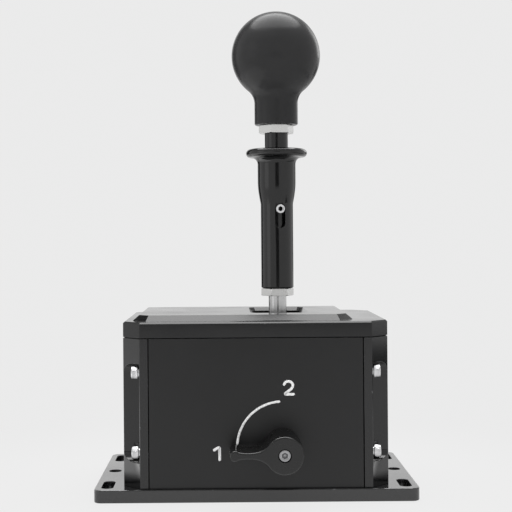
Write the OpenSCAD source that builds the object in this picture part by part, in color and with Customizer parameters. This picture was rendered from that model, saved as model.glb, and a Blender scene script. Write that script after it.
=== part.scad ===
// Gear shifter for a driving-game rig, in millimetres, +Z up, front towards -Y.
// The origin is on the underside of the base plate, midway between its two round holes.
// A lever swings in a cradle inside a bolted box: the cradle rocks sideways about Y,
// the lever rocks fore and aft about X, and a front selector raises a pin under the cradle.

/* [Base plate] */
// Width of the flange on each side of the box
flange_w = 16.5; // [13.5:0.5:24]
// Rim of the base plate in front of the box and behind it
plate_rim = 2.5; // [1:0.5:8]
// Thickness of the base plate
plate_t = 7.5; // [6.5:0.5:10]
// Radius of its upright corners
plate_r = 4.5; // [2:0.5:7]
// Width of a mounting slot
slot_w = 6.6; // [5:0.1:8]
// Length of a mounting slot
slot_l = 19.5; // [12:0.5:24]
// Diameter of the round mounting hole between two slots
mid_hole_d = 7.2; // [5:0.1:8]
// Distance from the plate's side edge to a line of slots
slot_inset_x = 7.2; // [6:0.1:9]
// Distance from the plate's front edge to the middle of a slot
slot_inset_y = 14.7; // [13:0.1:18]

/* [Box] */
// Width of the box
body_w = 154; // [152:1:162]
// Depth of the box
body_d = 103; // [102:1:108]
// Height of the box between base plate and cover
body_h = 86; // [84:1:96]
// Leg of the 45 degree cut on the upright corners
corner_cut = 10.3; // [7:0.1:11]
// Thickness of a side plate
side_t = 15; // [14:0.5:16]
// Thickness of the front and rear panels
panel_t = 10; // [9:0.5:10.5]
// Groove between a panel and a side plate
panel_gap = 0.5; // [0.2:0.1:1]

/* [Corner pockets] */
// Depth of a pocket back from the front or rear face
pocket_d = 10.4; // [9:0.1:12]
// Height of a pocket's floor above the base plate
pocket_low = 14.6; // [8:0.1:16]
// Distance from a pocket's top to the top of the box
pocket_high = 14.4; // [10:0.1:18]
// Radius of a pocket's inner corners
pocket_r = 6; // [3:0.5:7]
// Wall left under the screw heads
post_t = 5; // [4:0.5:6]

/* [Cover] */
// Thickness of the dark gasket under the cover
gasket_t = 0.5; // [0.4:0.1:1]
// Thickness of the cover's rim
cover_t = 9; // [7:0.1:10]
// Chamfer round the cover's top edge
cover_edge = 1; // [0.4:0.1:1.6]
// Height of the raised middle over the rim
raise_h = 3.3; // [2:0.1:4]
// Run of the slope round the raised middle
raise_run = 3.8; // [3:0.1:4.5]
// Width of the opening round the lever
opening_w = 30; // [29:0.5:36]
// Depth of the opening round the lever
opening_d = 50.5; // [42:0.5:52]

/* [Lever] */
// Sideways place of the lever, right of the middle of the box
lever_x = 15; // [13:0.5:16]
// Height of the pivot over the base plate
pivot_h = 48.5; // [47:0.5:51]
// Diameter of the steel rod
rod_d = 11; // [10.5:0.1:11.5]
// Clear height of rod between the cover and the lower nut
rod_show = 9.2; // [8:0.1:16]
// Diameter of the guide tube
tube_d = 14.4; // [14:0.1:14.8]
// Travel of the lift collar
collar_lift = 8.7; // [6:0.1:8.9]

/* [Lift collar] */
// Length of the collar
collar_l = 86.2; // [84:0.1:92]
// Diameter of its lower barrel
barrel_d = 20; // [19.6:0.1:21]
// Diameter of its upper barrel
grip_d = 23.5; // [23:0.1:26]
// Diameter of its finger flange
flange_d = 37.8; // [34:0.1:42]

/* [Knob] */
// Diameter of the ball
knob_d = 54.7; // [46:0.1:60]
// Height of the ball's centre over the foot of the neck
knob_rise = 42.7; // [39:0.1:48]
// Diameter of the neck
neck_d = 26.8; // [24:0.1:30]
// Radius of the fillet between neck and ball
neck_fillet = 10.5; // [6:0.5:14]

/* [Mode selector] */
// Height of the selector's shaft over the base plate
selector_h = 23.7; // [22.7:0.1:24]
// Diameter of the selector's hub
hub_d = 21.2; // [19:0.1:23]
// Distance of the hub's front from the front panel
hub_reach = 27.5; // [24:0.5:32]
// Length of the handle from shaft to tip
handle_l = 30.5; // [26:0.5:36]
// Depth of the handle
handle_t = 20; // [12:0.5:24]

/* [Hidden] */
$fn = 96;

// Overrun of every cut past the face that it leaves
over = 1;
// Thickness of the slices that a hull joins
slice = 0.01;
// Radial clearance of a seated pin, screw or bush
fit = 0.02;
// Radial clearance of a running shaft
run = 0.05;
// Gap between pieces that pass each other
pass = 0.3;
// Number of steps along an arc of an outline
arc_steps = 12;

// Box
plate_w = body_w + 2 * flange_w;
plate_d = body_d + 2 * plate_rim;
side_in = body_w / 2 - side_t;
panel_w = 2 * (side_in - panel_gap);
body_top = plate_t + body_h;
cover_z = body_top + gasket_t;
rim_top = cover_z + cover_t;
top_z = rim_top + raise_h;
front_y = -body_d / 2;
inner_y = body_d / 2 - panel_t;
gasket_inset = 0.8;
pocket_z0 = plate_t + pocket_low;
pocket_z1 = body_top - pocket_high;

// Raised middle of the cover, as margins from the rim's edges
raise_left = 9;
raise_right = 23.3;
raise_front = 11.5;
raise_rear = 12;
raise_cut = 6;
opening_y = 3.3;
opening_cut = 2;
opening_run = 2.5;
opening_drop = 2.2;

// Screws: shank radius, head radius, head length and socket width
m3_r = 1.5;
m3_head_r = 2.75;
m3_head_l = 3;
m3_socket = 2.5;
m4_r = 2;
m4_head_r = 3.75;
m4_head_l = 4;
m4_socket = 3;
m5_r = 2.5;
m5_head_r = 4.25;
m5_head_l = 5;
m5_socket = 4;
socket_share = 0.5;
head_clear = 0.25;
head_sink = 0.3;
tip_gap = 0.8;

// Side screws in the corner pockets
side_screw_y = 5.2;
side_screw_low = 5.6;
side_screw_high = 5.2;
side_screw_l = 17;
washer_t = 0.8;
washer_r = 3;

// Tie screws through the side plates, and screws that hold the panels to the base plate
tie_x = side_in + side_t / 2;
tie_y = 30;
tie_bite = 6.2;
panel_screw_inset = 27;
panel_screw_x = side_in - panel_screw_inset;
panel_screw_bite = 10;

// Pivot, cradle and bearings
pivot_z = plate_t + pivot_h;
rod_r = rod_d / 2;
tube_r = tube_d / 2;
select_angle = 8;
shift_angle = 11;
room_x = side_in - lever_x;
cheek_share = 0.19;
cradle_in_share = 0.405;
cheek_t = room_x * cheek_share;
cradle_in_x = room_x * cradle_in_share;
cradle_in_y_share = 0.41;
cradle_end_share = 0.215;
cradle_in_y = inner_y * cradle_in_y_share;
cradle_end_t = inner_y * cradle_end_share;
cradle_h = 18;
cradle_out_x = cradle_in_x + cheek_t;
cradle_out_y = cradle_in_y + cradle_end_t;
cradle_screw_drop = 4.5;
cradle_screw_l = 13;
cradle_head_l = 3;
journal_r = 4;
shoulder_r = 5.5;
bearing_r = 8;
bearing_w = 5;
bearing_groove = 0.4;
race_share = 0.3;
bearing_sink = 0.2;
bearing_y = inner_y + bearing_sink;
bearing_back = 0.3;

// Lever block and its pivot pins
block_y = 9;
block_drop = 10;
block_rise = 12;
flange_t = 1.5;
bush_r = 5;
bush_flange_r = 6.5;
block_x = cradle_in_x - flange_t - pass;
pin_r = 3.5;
pin_in = 8;
rod_foot = 2;
set_screw_drop = 4.5;

// Sprung plungers: the sideways pair in the posts, the fore-and-aft pair in the cradle
nose_r = 2.5;
barrel_r = 4;
barrel_cap = 1.4;
spring_gap = 0.9;
spring_mean_r = 1.9;
spring_wire_r = 0.35;
centring_rise = 5;
centring_y = 10;
centring_gap = 0.7;
post_gap_share = 0.14;
post_gap = room_x * post_gap_share;
post_t_x = room_x - pass - cradle_out_x - post_gap;
post_w = 14;
post_over = 6;
post_lip = 1;
centring_barrel_x = post_gap - post_lip;
centring_barrel_l = post_t_x + post_lip;
centring_spring_l = 4.9;
centring_plunger_l = centring_barrel_x + centring_barrel_l - barrel_cap - centring_spring_l
    - spring_gap - centring_gap;
shift_rise = 3.5;
shift_x = (journal_r + cradle_in_x) / 2;
shift_gap = 0.6;
shift_barrel_x = cradle_in_y - block_y;
shift_barrel_l = 15;
shift_spring_l = 7.1;
shift_plunger_l = shift_barrel_x + shift_barrel_l - barrel_cap - shift_spring_l - spring_gap - shift_gap;
plunger_turns = 5;

// Travel stop under the cover
stop_w = 52;
stop_d = 48;
stop_t = 6;
stop_drop = 4;
stop_boss_r = 4;
stop_screw_x = 22;
stop_screw_y = 18;
stop_bite = 5;
buffer_gap = 0.4;
buffer_h = cover_z - stop_drop - pivot_z;
buffer_x = buffer_h * tan(select_angle) + rod_r / cos(select_angle) + buffer_gap;
buffer_y = buffer_h * tan(shift_angle) + rod_r / cos(shift_angle) + buffer_gap;
buffer_t = 3.5;

// Selector shaft, its eccentric end and the lock pin
selector_z = plate_t + selector_h;
shaft_r = 4;
hub_gap = 0.5;
hub_wall = 2.7;
hub_sink = 0.4;
hub_screw_l = 12.5;
hub_head_r = 3.45;
hub_head_l = 3.9;
cam_r = 5;
cam_throw = 2.5;
cam_w = 10;
bush_out_r = 6;
bush_in_flange_r = 8.5;
collar_r = 8;
collar_w = 6;
lock_r = 3;
lock_y = (cradle_in_y + cradle_out_y) / 2;
cam_y = lock_y - cam_w / 2;
lock_foot_gap = 0.85;
lock_top_gap = 0.8;
lock_notch = 3;
guide_deck_low = 8.8;
guide_deck_t = 4.5;
guide_leg_in = 8.2;
guide_leg_out = 11;
guide_foot_out = 18.5;
guide_foot_h = 6;
guide_w = 11;
waist_share = 0.71;
root_share = 0.23;
tip_share = 0.9;
waist_power = 3.3;
waist_w = 3.6;
handle_root_w = 16;
tip_w = 6.1;
handle_steps = 14;

// Reverse stop, sensors and circuit board
lockout_drop = 20;
stop_post_gap = 0.4;
stop_post_x = 3;
stop_post_w = 9;
stop_post_d = 12;
sensor_x = 6;
sensor_w = 10;
sensor_d = 12;
sensor_drop = 18.5;
sensor_board_t = 1.2;
sensor_chip = 4;
sensor_chip_t = 1;
magnet_x = (rod_r + block_x) / 2;
magnet_r = 3;
magnet_t = 3;
board_gap = 4;
board_w = 24;
board_l = 43;
board_t = 1.6;
board_lift = 5;
board_rear_gap = 3;
standoff_r = 2.5;
standoff_inset = 3.5;
standoff_pin_r = 1;
socket_w = 9;
socket_h = 3.2;
socket_wall = 0.35;
socket_deep = 6.5;
socket_back = 9;
socket_tongue_w = 6.7;
socket_tongue_t = 0.7;
socket_sink = 0.3;
board_x0 = -side_in + board_gap;
board_y1 = inner_y - board_rear_gap;
board_z = plate_t + board_lift;
standoff_places = [for (x = [standoff_inset, board_w - standoff_inset])
    for (y = [standoff_inset, board_l - standoff_inset]) [board_x0 + x, board_y1 - y]];
chip_places_share = [[0.5, 0.42], [0.3, 0.68], [0.7, 0.68]];
chip_sizes_share = [[0.42, 0.23], [0.2, 0.12], [0.2, 0.12]];
chip_t = 1.4;

// Stack of pieces up the rod
nut_t = 4.4;
nut_af = 17.5;
upper_nut_af = 19;
nut_chamfer = 0.35;
lower_nut_turn = 5;
upper_nut_turn = 9;
collar_gap = 0.3;
nut_z = top_z + rod_show;
tube_z = nut_z + nut_t;
collar_z = tube_z + collar_gap;
collar_top = collar_z + collar_l;
lift_gap = 0.5;
head_room = collar_lift + lift_gap;
upper_nut_z = collar_top + head_room;
upper_nut_t = 5;
knob_gap = 0.3;
knob_z = upper_nut_z + upper_nut_t + knob_gap;
knob_bore_r = 8;
knob_bore_l = 20;
insert_l = 18;
insert_sink = 1;
neck_edge = 1;
rod_top = knob_z + insert_sink + insert_l;

// Outline of the collar, measured up from its foot
collar_foot_edge = 0.5;
taper_z = 51.8;
taper_l = 14;
taper_steps = 8;
cove_r = 4.3;
flange_edge_r = 2.5;
flange_dome = 0.5;
flange_flat_r = 9;

// Guide slot and screw of the collar
guide_turn = 10.7;
guide_slot_w = 6.05;
guide_slot_top = 51.8;
guide_slack = 0.1;
guide_slot_l = collar_lift + guide_slot_w + guide_slack;
guide_z = collar_z + guide_slot_top - guide_slot_w / 2 - guide_slack;
guide_head_l = 2.9;
guide_screw_l = 4;

// Lockout rod inside the steel rod, with its spring
lockout_r = 2;
lockout_bore_r = 2.1;
lockout_head_r = 2.9;
spring_bore_r = 3.1;
head_rise = 59.2;
head_z = collar_z + head_rise;
head_l = 7.7;
cross_r = 1.5;
cross_slot_w = 3.4;
cross_z = head_z + head_l / 2;
cross_l_front = 10.2;
cross_sink = 0.2;
plug_l = 6;
plug_drop = 7.4;
plug_z = upper_nut_z - plug_drop;
lockout_spring_r = 2.3;
lockout_wire_r = 0.4;
lockout_turns = 8;

// Places of the screws under the brackets, as seen from above
bracket_places = [
    [lever_x + cradle_out_x + post_gap + post_t_x / 2, centring_y],
    [lever_x - cradle_out_x - post_gap - post_t_x / 2, centring_y],
    [lever_x + (guide_leg_out + guide_foot_out) / 2, -lock_y],
    [lever_x - (guide_leg_out + guide_foot_out) / 2, -lock_y],
    [lever_x - stop_post_x - stop_post_w / 2, 0],
    [lever_x + sensor_x + sensor_w / 2, 0]
];
bracket_bite = 4.5;
panel_places = [for (x = [-panel_screw_x, panel_screw_x]) for (y = [-1, 1]) [x, y * (body_d - panel_t) / 2]];
tie_places = [for (x = [-tie_x, tie_x]) for (y = [-tie_y, tie_y]) [x, y]];

// Points on an arc about c, from angle a0 to angle a1
function arc(c, r, a0, a1) =
    [for (i = [0:arc_steps]) let (a = a0 + (a1 - a0) * i / arc_steps) c + r * [cos(a), sin(a)]];

// Rectangle of size w by d about the origin, with its four corners cut by c
function cut_rect(w, d, c) = [
    [-w / 2, -d / 2 + c], [-w / 2 + c, -d / 2], [w / 2 - c, -d / 2], [w / 2, -d / 2 + c],
    [w / 2, d / 2 - c], [w / 2 - c, d / 2], [-w / 2 + c, d / 2], [-w / 2, d / 2 - c]
];

// How much shorter the cut of a corner gets when the outline moves in by e
function cut_in(e) = e * (2 - sqrt(2));

// Centres of a coil's wire, one ring of points after another
function coil_points(r, wire, h, turns, steps, sides) = [
    for (i = [0:turns * steps]) let (a = 360 * i / steps, z = wire + (h - 2 * wire) * i / (turns * steps))
        for (j = [0:sides - 1]) let (b = 360 * j / sides)
            [(r + wire * cos(b)) * cos(a), (r + wire * cos(b)) * sin(a), z + wire * sin(b)]
];

// Wound spring that stands on the plane z = 0
module coil(r, wire, h, turns, steps = 14, sides = 6) {
    last = turns * steps;
    polyhedron(
        points = coil_points(r, wire, h, turns, steps, sides),
        faces = concat(
            [[for (j = [sides - 1:-1:0]) j]],
            [for (i = [0:last - 1]) for (j = [0:sides - 1])
                [i * sides + j, i * sides + (j + 1) % sides,
                    (i + 1) * sides + (j + 1) % sides, (i + 1) * sides + j]],
            [[for (j = [0:sides - 1]) last * sides + j]]
        )
    );
}

// Box from one corner to the opposite corner
module block(low, high) {
    translate(low) cube(high - low);
}

// Cylinder along X or along Y between two places
module along_x(x0, x1, r) {
    translate([x0, 0, 0]) rotate([0, 90, 0]) cylinder(h = x1 - x0, r = r);
}

module along_y(y0, y1, r) {
    translate([0, y0, 0]) rotate([-90, 0, 0]) cylinder(h = y1 - y0, r = r);
}

// The same thing at the right and, mirrored, at the left of the middle
module both_sides() {
    children();
    mirror([1, 0, 0]) children();
}

// The same thing at the front and, mirrored, at the rear
module both_ends() {
    children();
    mirror([0, 1, 0]) children();
}

// Everything that turns with the lever is drawn about the pivot
module at_pivot() {
    translate([lever_x, 0, pivot_z]) children();
}

// Socket screw that points down: the head stands on z = 0, the shank hangs below
module cap_screw(r, l, head_r, head_l, socket) {
    difference() {
        union() {
            cylinder(h = head_l, r = head_r);
            translate([0, 0, -l]) cylinder(h = l, r = r);
        }
        translate([0, 0, head_l * (1 - socket_share)])
            cylinder(h = head_l, r = socket / sqrt(3), $fn = 6);
    }
}

// Hole for a screw that enters from below: counterbore, clear hole in the plate
module screw_hole_up(r, head_r, head_l) {
    translate([0, 0, -over]) cylinder(h = plate_t + 2 * over, r = r + head_clear);
    translate([0, 0, -over]) cylinder(h = head_l + head_sink + over, r = head_r + head_clear);
}

// Screw that enters the base plate from below and bites into what stands on it
module screw_up(r, head_r, head_l, socket, bite) {
    translate([0, 0, head_sink + head_l]) mirror([0, 0, 1])
        cap_screw(r, plate_t - head_sink - head_l + bite, head_r, head_l, socket);
}

module base_plate() {
    slot_x = plate_w / 2 - slot_inset_x;
    slot_y = plate_d / 2 - slot_inset_y;
    color("#2b2b2d") difference() {
        union() {
            translate([0, 0, plate_t / 2]) cube([plate_w - 2 * plate_r, plate_d, plate_t], center = true);
            translate([0, 0, plate_t / 2]) cube([plate_w, plate_d - 2 * plate_r, plate_t], center = true);
            for (x = [-1, 1]) for (y = [-1, 1])
                translate([x * (plate_w / 2 - plate_r), y * (plate_d / 2 - plate_r), 0])
                    cylinder(h = plate_t, r = plate_r);
        }
        for (x = [-slot_x, slot_x]) {
            translate([x, 0, -over]) cylinder(h = plate_t + 2 * over, r = mid_hole_d / 2);
            for (y = [-slot_y, slot_y]) translate([x, y, -over]) {
                translate([-slot_w / 2, -(slot_l - slot_w) / 2, 0])
                    cube([slot_w, slot_l - slot_w, plate_t + 2 * over]);
                for (end = [-1, 1]) translate([0, end * (slot_l - slot_w) / 2, 0])
                    cylinder(h = plate_t + 2 * over, r = slot_w / 2);
            }
        }
        for (p = tie_places) translate(p) screw_hole_up(m5_r, m5_head_r, m5_head_l);
        for (p = panel_places) translate(p) screw_hole_up(m4_r, m4_head_r, m4_head_l);
        for (p = bracket_places) translate(p) screw_hole_up(m3_r, m3_head_r, m3_head_l);
    }
}

// Notch in the right front corner of the right side plate, open to the front and the side
module corner_pocket() {
    x = side_in + post_t;
    block([x, front_y - over, pocket_z0], [x + side_t, front_y + pocket_d - pocket_r, pocket_z1]);
    block([x, front_y - over, pocket_z0 + pocket_r], [x + side_t, front_y + pocket_d, pocket_z1 - pocket_r]);
    for (z = [pocket_z0 + pocket_r, pocket_z1 - pocket_r])
        translate([0, front_y + pocket_d - pocket_r, z]) along_x(x, x + side_t, pocket_r);
}

// The two screw places of the right front corner
module at_side_screws() {
    for (z = [pocket_z0 + side_screw_low, pocket_z1 - side_screw_high])
        translate([side_in + post_t, front_y + side_screw_y, z]) children();
}

module side_plate() {
    color("#343436") difference() {
        translate([0, 0, plate_t]) linear_extrude(body_h) polygon([
            [side_in, front_y], [body_w / 2 - corner_cut, front_y], [body_w / 2, front_y + corner_cut],
            [body_w / 2, -front_y - corner_cut], [body_w / 2 - corner_cut, -front_y], [side_in, -front_y]
        ]);
        both_ends() {
            corner_pocket();
            at_side_screws() along_x(-post_t - over, over, m4_r + head_clear);
            translate([tie_x, tie_y, plate_t - over]) cylinder(h = body_h + 2 * over, r = m5_r + head_clear);
        }
    }
}

module right_side_plate() {
    side_plate();
}

module left_side_plate() {
    mirror([1, 0, 0]) side_plate();
}

// Front panel before the selector's bore: the rear panel is its mirror image
module panel_blank() {
    difference() {
        block([-panel_w / 2, front_y, plate_t], [panel_w / 2, front_y + panel_t, body_top]);
        both_sides() at_side_screws()
            along_x(-post_t - side_screw_l, over, m4_r + fit);
        for (x = [-panel_screw_x, panel_screw_x])
            translate([x, front_y + panel_t / 2, plate_t - over])
                cylinder(h = panel_screw_bite + tip_gap + over, r = m4_r + fit);
        at_pivot() along_y(-bearing_y - bearing_w - bearing_back, -inner_y + over, bearing_r + fit);
    }
}

module front_panel() {
    color("#333335") difference() {
        panel_blank();
        translate([lever_x, 0, selector_z]) along_y(front_y - over, -inner_y + over, bush_out_r + fit);
    }
}

module rear_panel() {
    color("#333335") difference() {
        mirror([0, 1, 0]) panel_blank();
        at_socket(0) socket_bar(inner_y - over, body_d / 2 + over,
            socket_w / 2 + 2 * run, socket_h / 2 + 2 * run);
    }
}

// Plan of the cover, moved in by e
module cover_plan(e) {
    polygon(cut_rect(body_w - 2 * e, body_d - 2 * e, corner_cut - cut_in(e)));
}

module cover_gasket() {
    color("#101011") translate([0, 0, body_top]) difference() {
        linear_extrude(gasket_t) cover_plan(gasket_inset);
        translate([0, 0, -over]) linear_extrude(gasket_t + 2 * over)
            square([body_w - 2 * side_t, body_d - 2 * panel_t], center = true);
        for (p = tie_places) translate([p[0], p[1], -over])
            cylinder(h = gasket_t + 2 * over, r = m5_r + head_clear);
    }
}

// Plan of the raised middle, moved out by e
module raise_plan(e) {
    x0 = -body_w / 2 + raise_left - e;
    x1 = body_w / 2 - raise_right + e;
    y0 = front_y + raise_front - e;
    y1 = -front_y - raise_rear + e;
    c = raise_cut + cut_in(e);
    polygon([[x0, y0 + c], [x0 + c, y0], [x1 - c, y0], [x1, y0 + c], [x1, y1], [x0, y1]]);
}

module opening_plan(e) {
    translate([lever_x, opening_y])
        polygon(cut_rect(opening_w + 2 * e, opening_d + 2 * e, opening_cut + cut_in(e)));
}

module top_cover() {
    color("#2d2d2f") difference() {
        union() {
            translate([0, 0, cover_z]) linear_extrude(cover_t - cover_edge) cover_plan(0);
            hull() {
                translate([0, 0, rim_top - cover_edge - slice]) linear_extrude(slice) cover_plan(0);
                translate([0, 0, rim_top - slice]) linear_extrude(slice) cover_plan(cover_edge);
            }
            hull() {
                translate([0, 0, rim_top - slice]) linear_extrude(slice) raise_plan(raise_run);
                translate([0, 0, top_z - slice]) linear_extrude(slice) raise_plan(0);
            }
        }
        translate([0, 0, cover_z - over]) linear_extrude(top_z - cover_z + 2 * over) opening_plan(0);
        hull() {
            translate([0, 0, top_z - opening_drop]) linear_extrude(slice) opening_plan(0);
            translate([0, 0, top_z]) linear_extrude(slice) opening_plan(opening_run);
        }
        for (p = tie_places) translate([p[0], p[1], cover_z - over])
            cylinder(h = tie_bite + tip_gap + over, r = m5_r + fit);
        for (x = [-1, 1]) for (y = [-1, 1])
            translate([lever_x + x * stop_screw_x, y * stop_screw_y, cover_z - over])
                cylinder(h = stop_bite + tip_gap + over, r = m4_r + fit);
    }
}

module tie_screws() {
    color("#8d8f92") for (p = tie_places) translate(p)
        screw_up(m5_r, m5_head_r, m5_head_l, m5_socket, body_h + gasket_t + tie_bite);
}

module panel_screws() {
    color("#8d8f92") for (p = panel_places) translate(p)
        screw_up(m4_r, m4_head_r, m4_head_l, m4_socket, panel_screw_bite);
}

module bracket_screws() {
    color("#8d8f92") for (p = bracket_places) translate(p)
        screw_up(m3_r, m3_head_r, m3_head_l, m3_socket, bracket_bite);
}

module side_screws() {
    color("#cfd0d2") both_sides() both_ends() at_side_screws()
        translate([washer_t, 0, 0]) rotate([0, 90, 0])
            cap_screw(m4_r, side_screw_l + washer_t - tip_gap, m4_head_r, m4_head_l, m4_socket);
}

module side_washers() {
    color("#b9babd") both_sides() both_ends() at_side_screws() difference() {
        along_x(0, washer_t, washer_r);
        along_x(-over, washer_t + over, m4_r + fit);
    }
}

// Frame under the cover: four bosses carry it, and its rubber buffer ends the lever's swing
module stop_frame() {
    z1 = cover_z - stop_drop;
    color("#55585c") difference() {
        union() {
            block([lever_x - stop_w / 2, -stop_d / 2, z1 - stop_t], [lever_x + stop_w / 2, stop_d / 2, z1]);
            for (x = [-1, 1]) for (y = [-1, 1])
                translate([lever_x + x * stop_screw_x, y * stop_screw_y, z1 - slice])
                    cylinder(h = stop_drop + slice, r = stop_boss_r);
        }
        translate([lever_x - buffer_x - buffer_t, -buffer_y - buffer_t, z1 - stop_t - over])
            cube([2 * (buffer_x + buffer_t), 2 * (buffer_y + buffer_t), stop_t + 2 * over]);
        for (x = [-1, 1]) for (y = [-1, 1])
            translate([lever_x + x * stop_screw_x, y * stop_screw_y, z1 - stop_t - over])
                cylinder(h = stop_t + stop_drop + 2 * over, r = m4_r + head_clear);
    }
}

module stop_buffer() {
    z0 = cover_z - stop_drop - stop_t;
    color("#19191a") difference() {
        block([lever_x - buffer_x - buffer_t + fit, -buffer_y - buffer_t + fit, z0],
            [lever_x + buffer_x + buffer_t - fit, buffer_y + buffer_t - fit, z0 + stop_t]);
        block([lever_x - buffer_x, -buffer_y, z0 - over], [lever_x + buffer_x, buffer_y, z0 + stop_t + over]);
    }
}

module stop_screws() {
    color("#8d8f92") for (x = [-1, 1]) for (y = [-1, 1])
        translate([lever_x + x * stop_screw_x, y * stop_screw_y, cover_z - stop_drop - stop_t])
            mirror([0, 0, 1])
                cap_screw(m4_r, stop_t + stop_drop + stop_bite, m4_head_r, m4_head_l, m4_socket);
}

// Sprung plunger lying along +X: its nose touches x = 0, its barrel starts at x0
module plunger(l) {
    translate([nose_r, 0, 0]) sphere(r = nose_r);
    along_x(nose_r, l, nose_r);
}

module plunger_barrel(x0, l) {
    difference() {
        along_x(x0, x0 + l, barrel_r);
        along_x(x0 - over, x0 + l - barrel_cap, nose_r + run);
    }
}

module plunger_spring(x0, x1) {
    translate([x0, 0, 0]) rotate([0, 90, 0])
        coil(spring_mean_r, spring_wire_r, x1 - x0, plunger_turns);
}

// The sideways plungers start at the outer face of a cradle cheek
module at_centring(side) {
    at_pivot() mirror([(1 - side) / 2, 0, 0])
        translate([cradle_out_x, centring_y, centring_rise]) children();
}

module centring_posts() {
    color("#6a6d71") for (side = [-1, 1]) difference() {
        at_pivot() mirror([(1 - side) / 2, 0, 0])
            block([cradle_out_x + post_gap, centring_y - post_w / 2, plate_t - pivot_z],
                [cradle_out_x + post_gap + post_t_x, centring_y + post_w / 2, centring_rise + post_over]);
        at_centring(side) along_x(post_gap - over, post_gap + post_t_x + over, barrel_r + fit);
        bracket_bores();
    }
}

// Tapped holes for the bracket screws, up from the base plate
module bracket_bores() {
    for (p = bracket_places) translate([p[0], p[1], plate_t - over])
        cylinder(h = bracket_bite + tip_gap + over, r = m3_r + fit);
}

module centring_barrels() {
    color("#a7a9ac") for (side = [-1, 1]) at_centring(side)
        plunger_barrel(centring_barrel_x, centring_barrel_l);
}

module centring_springs() {
    color("#c9cacc") for (side = [-1, 1]) at_centring(side) plunger_spring(
        centring_gap + centring_plunger_l + spring_gap, centring_barrel_x + centring_barrel_l - barrel_cap);
}

module left_plunger() {
    color("#d7d8da") at_centring(-1) translate([centring_gap, 0, 0]) plunger(centring_plunger_l);
}

module right_plunger() {
    color("#d7d8da") at_centring(1) translate([centring_gap, 0, 0]) plunger(centring_plunger_l);
}

// Shielded ball bearings in the panels, drawn as rings with a groove in each face
module trunnion_bearings() {
    mid_r = (journal_r + bearing_r) / 2;
    half = (bearing_r - journal_r) * race_share / 2;
    color("#b4b6b9") at_pivot() both_ends() difference() {
        along_y(-bearing_y - bearing_w, -bearing_y, bearing_r);
        along_y(-bearing_y - bearing_w - over, -bearing_y + over, journal_r + run);
        for (y = [-bearing_y - bearing_w - over, -bearing_y - bearing_groove]) difference() {
            along_y(y, y + over + bearing_groove, mid_r + half);
            along_y(y - over, y + 2 * over + bearing_groove, mid_r - half);
        }
    }
}

module selector_bush() {
    color("#b08d57") translate([lever_x, 0, selector_z]) difference() {
        union() {
            along_y(front_y + pass, -inner_y, bush_out_r);
            along_y(-inner_y, -inner_y + flange_t, bush_in_flange_r);
        }
        along_y(front_y - over, -inner_y + flange_t + over, shaft_r + run);
    }
}

// Bridge over the shaft's eccentric end, with the bore that guides the lock pin
module lock_guide() {
    deck = selector_z + guide_deck_low;
    y0 = -lock_y - guide_w / 2;
    y1 = -lock_y + guide_w / 2;
    color("#6a6d71") translate([lever_x, 0, 0]) difference() {
        union() {
            block([-guide_leg_out, y0, deck], [guide_leg_out, y1, deck + guide_deck_t]);
            both_sides() {
                block([guide_leg_in, y0, plate_t], [guide_leg_out, y1, deck + slice]);
                block([guide_leg_in, y0, plate_t], [guide_foot_out, y1, plate_t + guide_foot_h]);
            }
        }
        translate([0, -lock_y, deck - over]) cylinder(h = guide_deck_t + 2 * over, r = lock_r + run);
        translate([-lever_x, 0, 0]) bracket_bores();
    }
}

module lock_pin() {
    foot = selector_z + cam_throw + cam_r + lock_foot_gap;
    color("#d7d8da") translate([lever_x, -lock_y, foot])
        cylinder(h = pivot_z - cradle_h / 2 - lock_top_gap - foot, r = lock_r);
}

// Post beside the tip of the lockout rod
module reverse_stop() {
    color("#6a6d71") difference() {
        block([lever_x - stop_post_x - stop_post_w, -stop_post_d / 2, plate_t],
            [lever_x - stop_post_x, stop_post_d / 2, pivot_z - lockout_drop - stop_post_gap]);
        bracket_bores();
    }
}

module sensor_stand() {
    color("#6a6d71") difference() {
        block([lever_x + sensor_x, -sensor_d / 2, plate_t],
            [lever_x + sensor_x + sensor_w, sensor_d / 2, pivot_z - sensor_drop]);
        bracket_bores();
    }
}

// Small board with the magnetic sensor, under the lever's magnet
module sensor_board() {
    z = pivot_z - sensor_drop;
    color("#1d5b34")
        block([lever_x + sensor_x, -sensor_d / 2, z],
            [lever_x + sensor_x + sensor_w, sensor_d / 2, z + sensor_board_t]);
    color("#1a1a1c") translate([lever_x + magnet_x - sensor_chip / 2, -sensor_chip / 2, z + sensor_board_t])
        cube([sensor_chip, sensor_chip, sensor_chip_t]);
}

module circuit_board() {
    color("#1d5b34") difference() {
        block([board_x0, board_y1 - board_l, board_z], [board_x0 + board_w, board_y1, board_z + board_t]);
        for (p = standoff_places) translate([p[0], p[1], board_z - over])
            cylinder(h = board_t + 2 * over, r = standoff_pin_r + fit);
    }
    color("#1a1a1c") for (i = [0:len(chip_places_share) - 1])
        let (p = chip_places_share[i], s = chip_sizes_share[i])
            translate([board_x0 + (p[0] - s[0] / 2) * board_w,
                board_y1 - (p[1] + s[1] / 2) * board_l, board_z + board_t])
                cube([s[0] * board_w, s[1] * board_l, chip_t]);
}

module board_standoffs() {
    color("#c8b273") for (p = standoff_places) translate([p[0], p[1], plate_t]) {
        cylinder(h = board_lift, r = standoff_r);
        cylinder(h = board_lift + board_t + head_sink, r = standoff_pin_r);
    }
}

// Middle of the data socket, on the rear edge of the circuit board
module at_socket(lift) {
    translate([board_x0 + board_w / 2, 0, board_z + board_t + socket_h / 2 + lift]) children();
}

// Bar along Y with round sides, from y0 to y1
module socket_bar(y0, y1, half_w, half_h) {
    block([-half_w + half_h, y0, -half_h], [half_w - half_h, y1, half_h]);
    for (x = [-half_w + half_h, half_w - half_h]) translate([x, 0, 0]) along_y(y0, y1, half_h);
}

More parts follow.
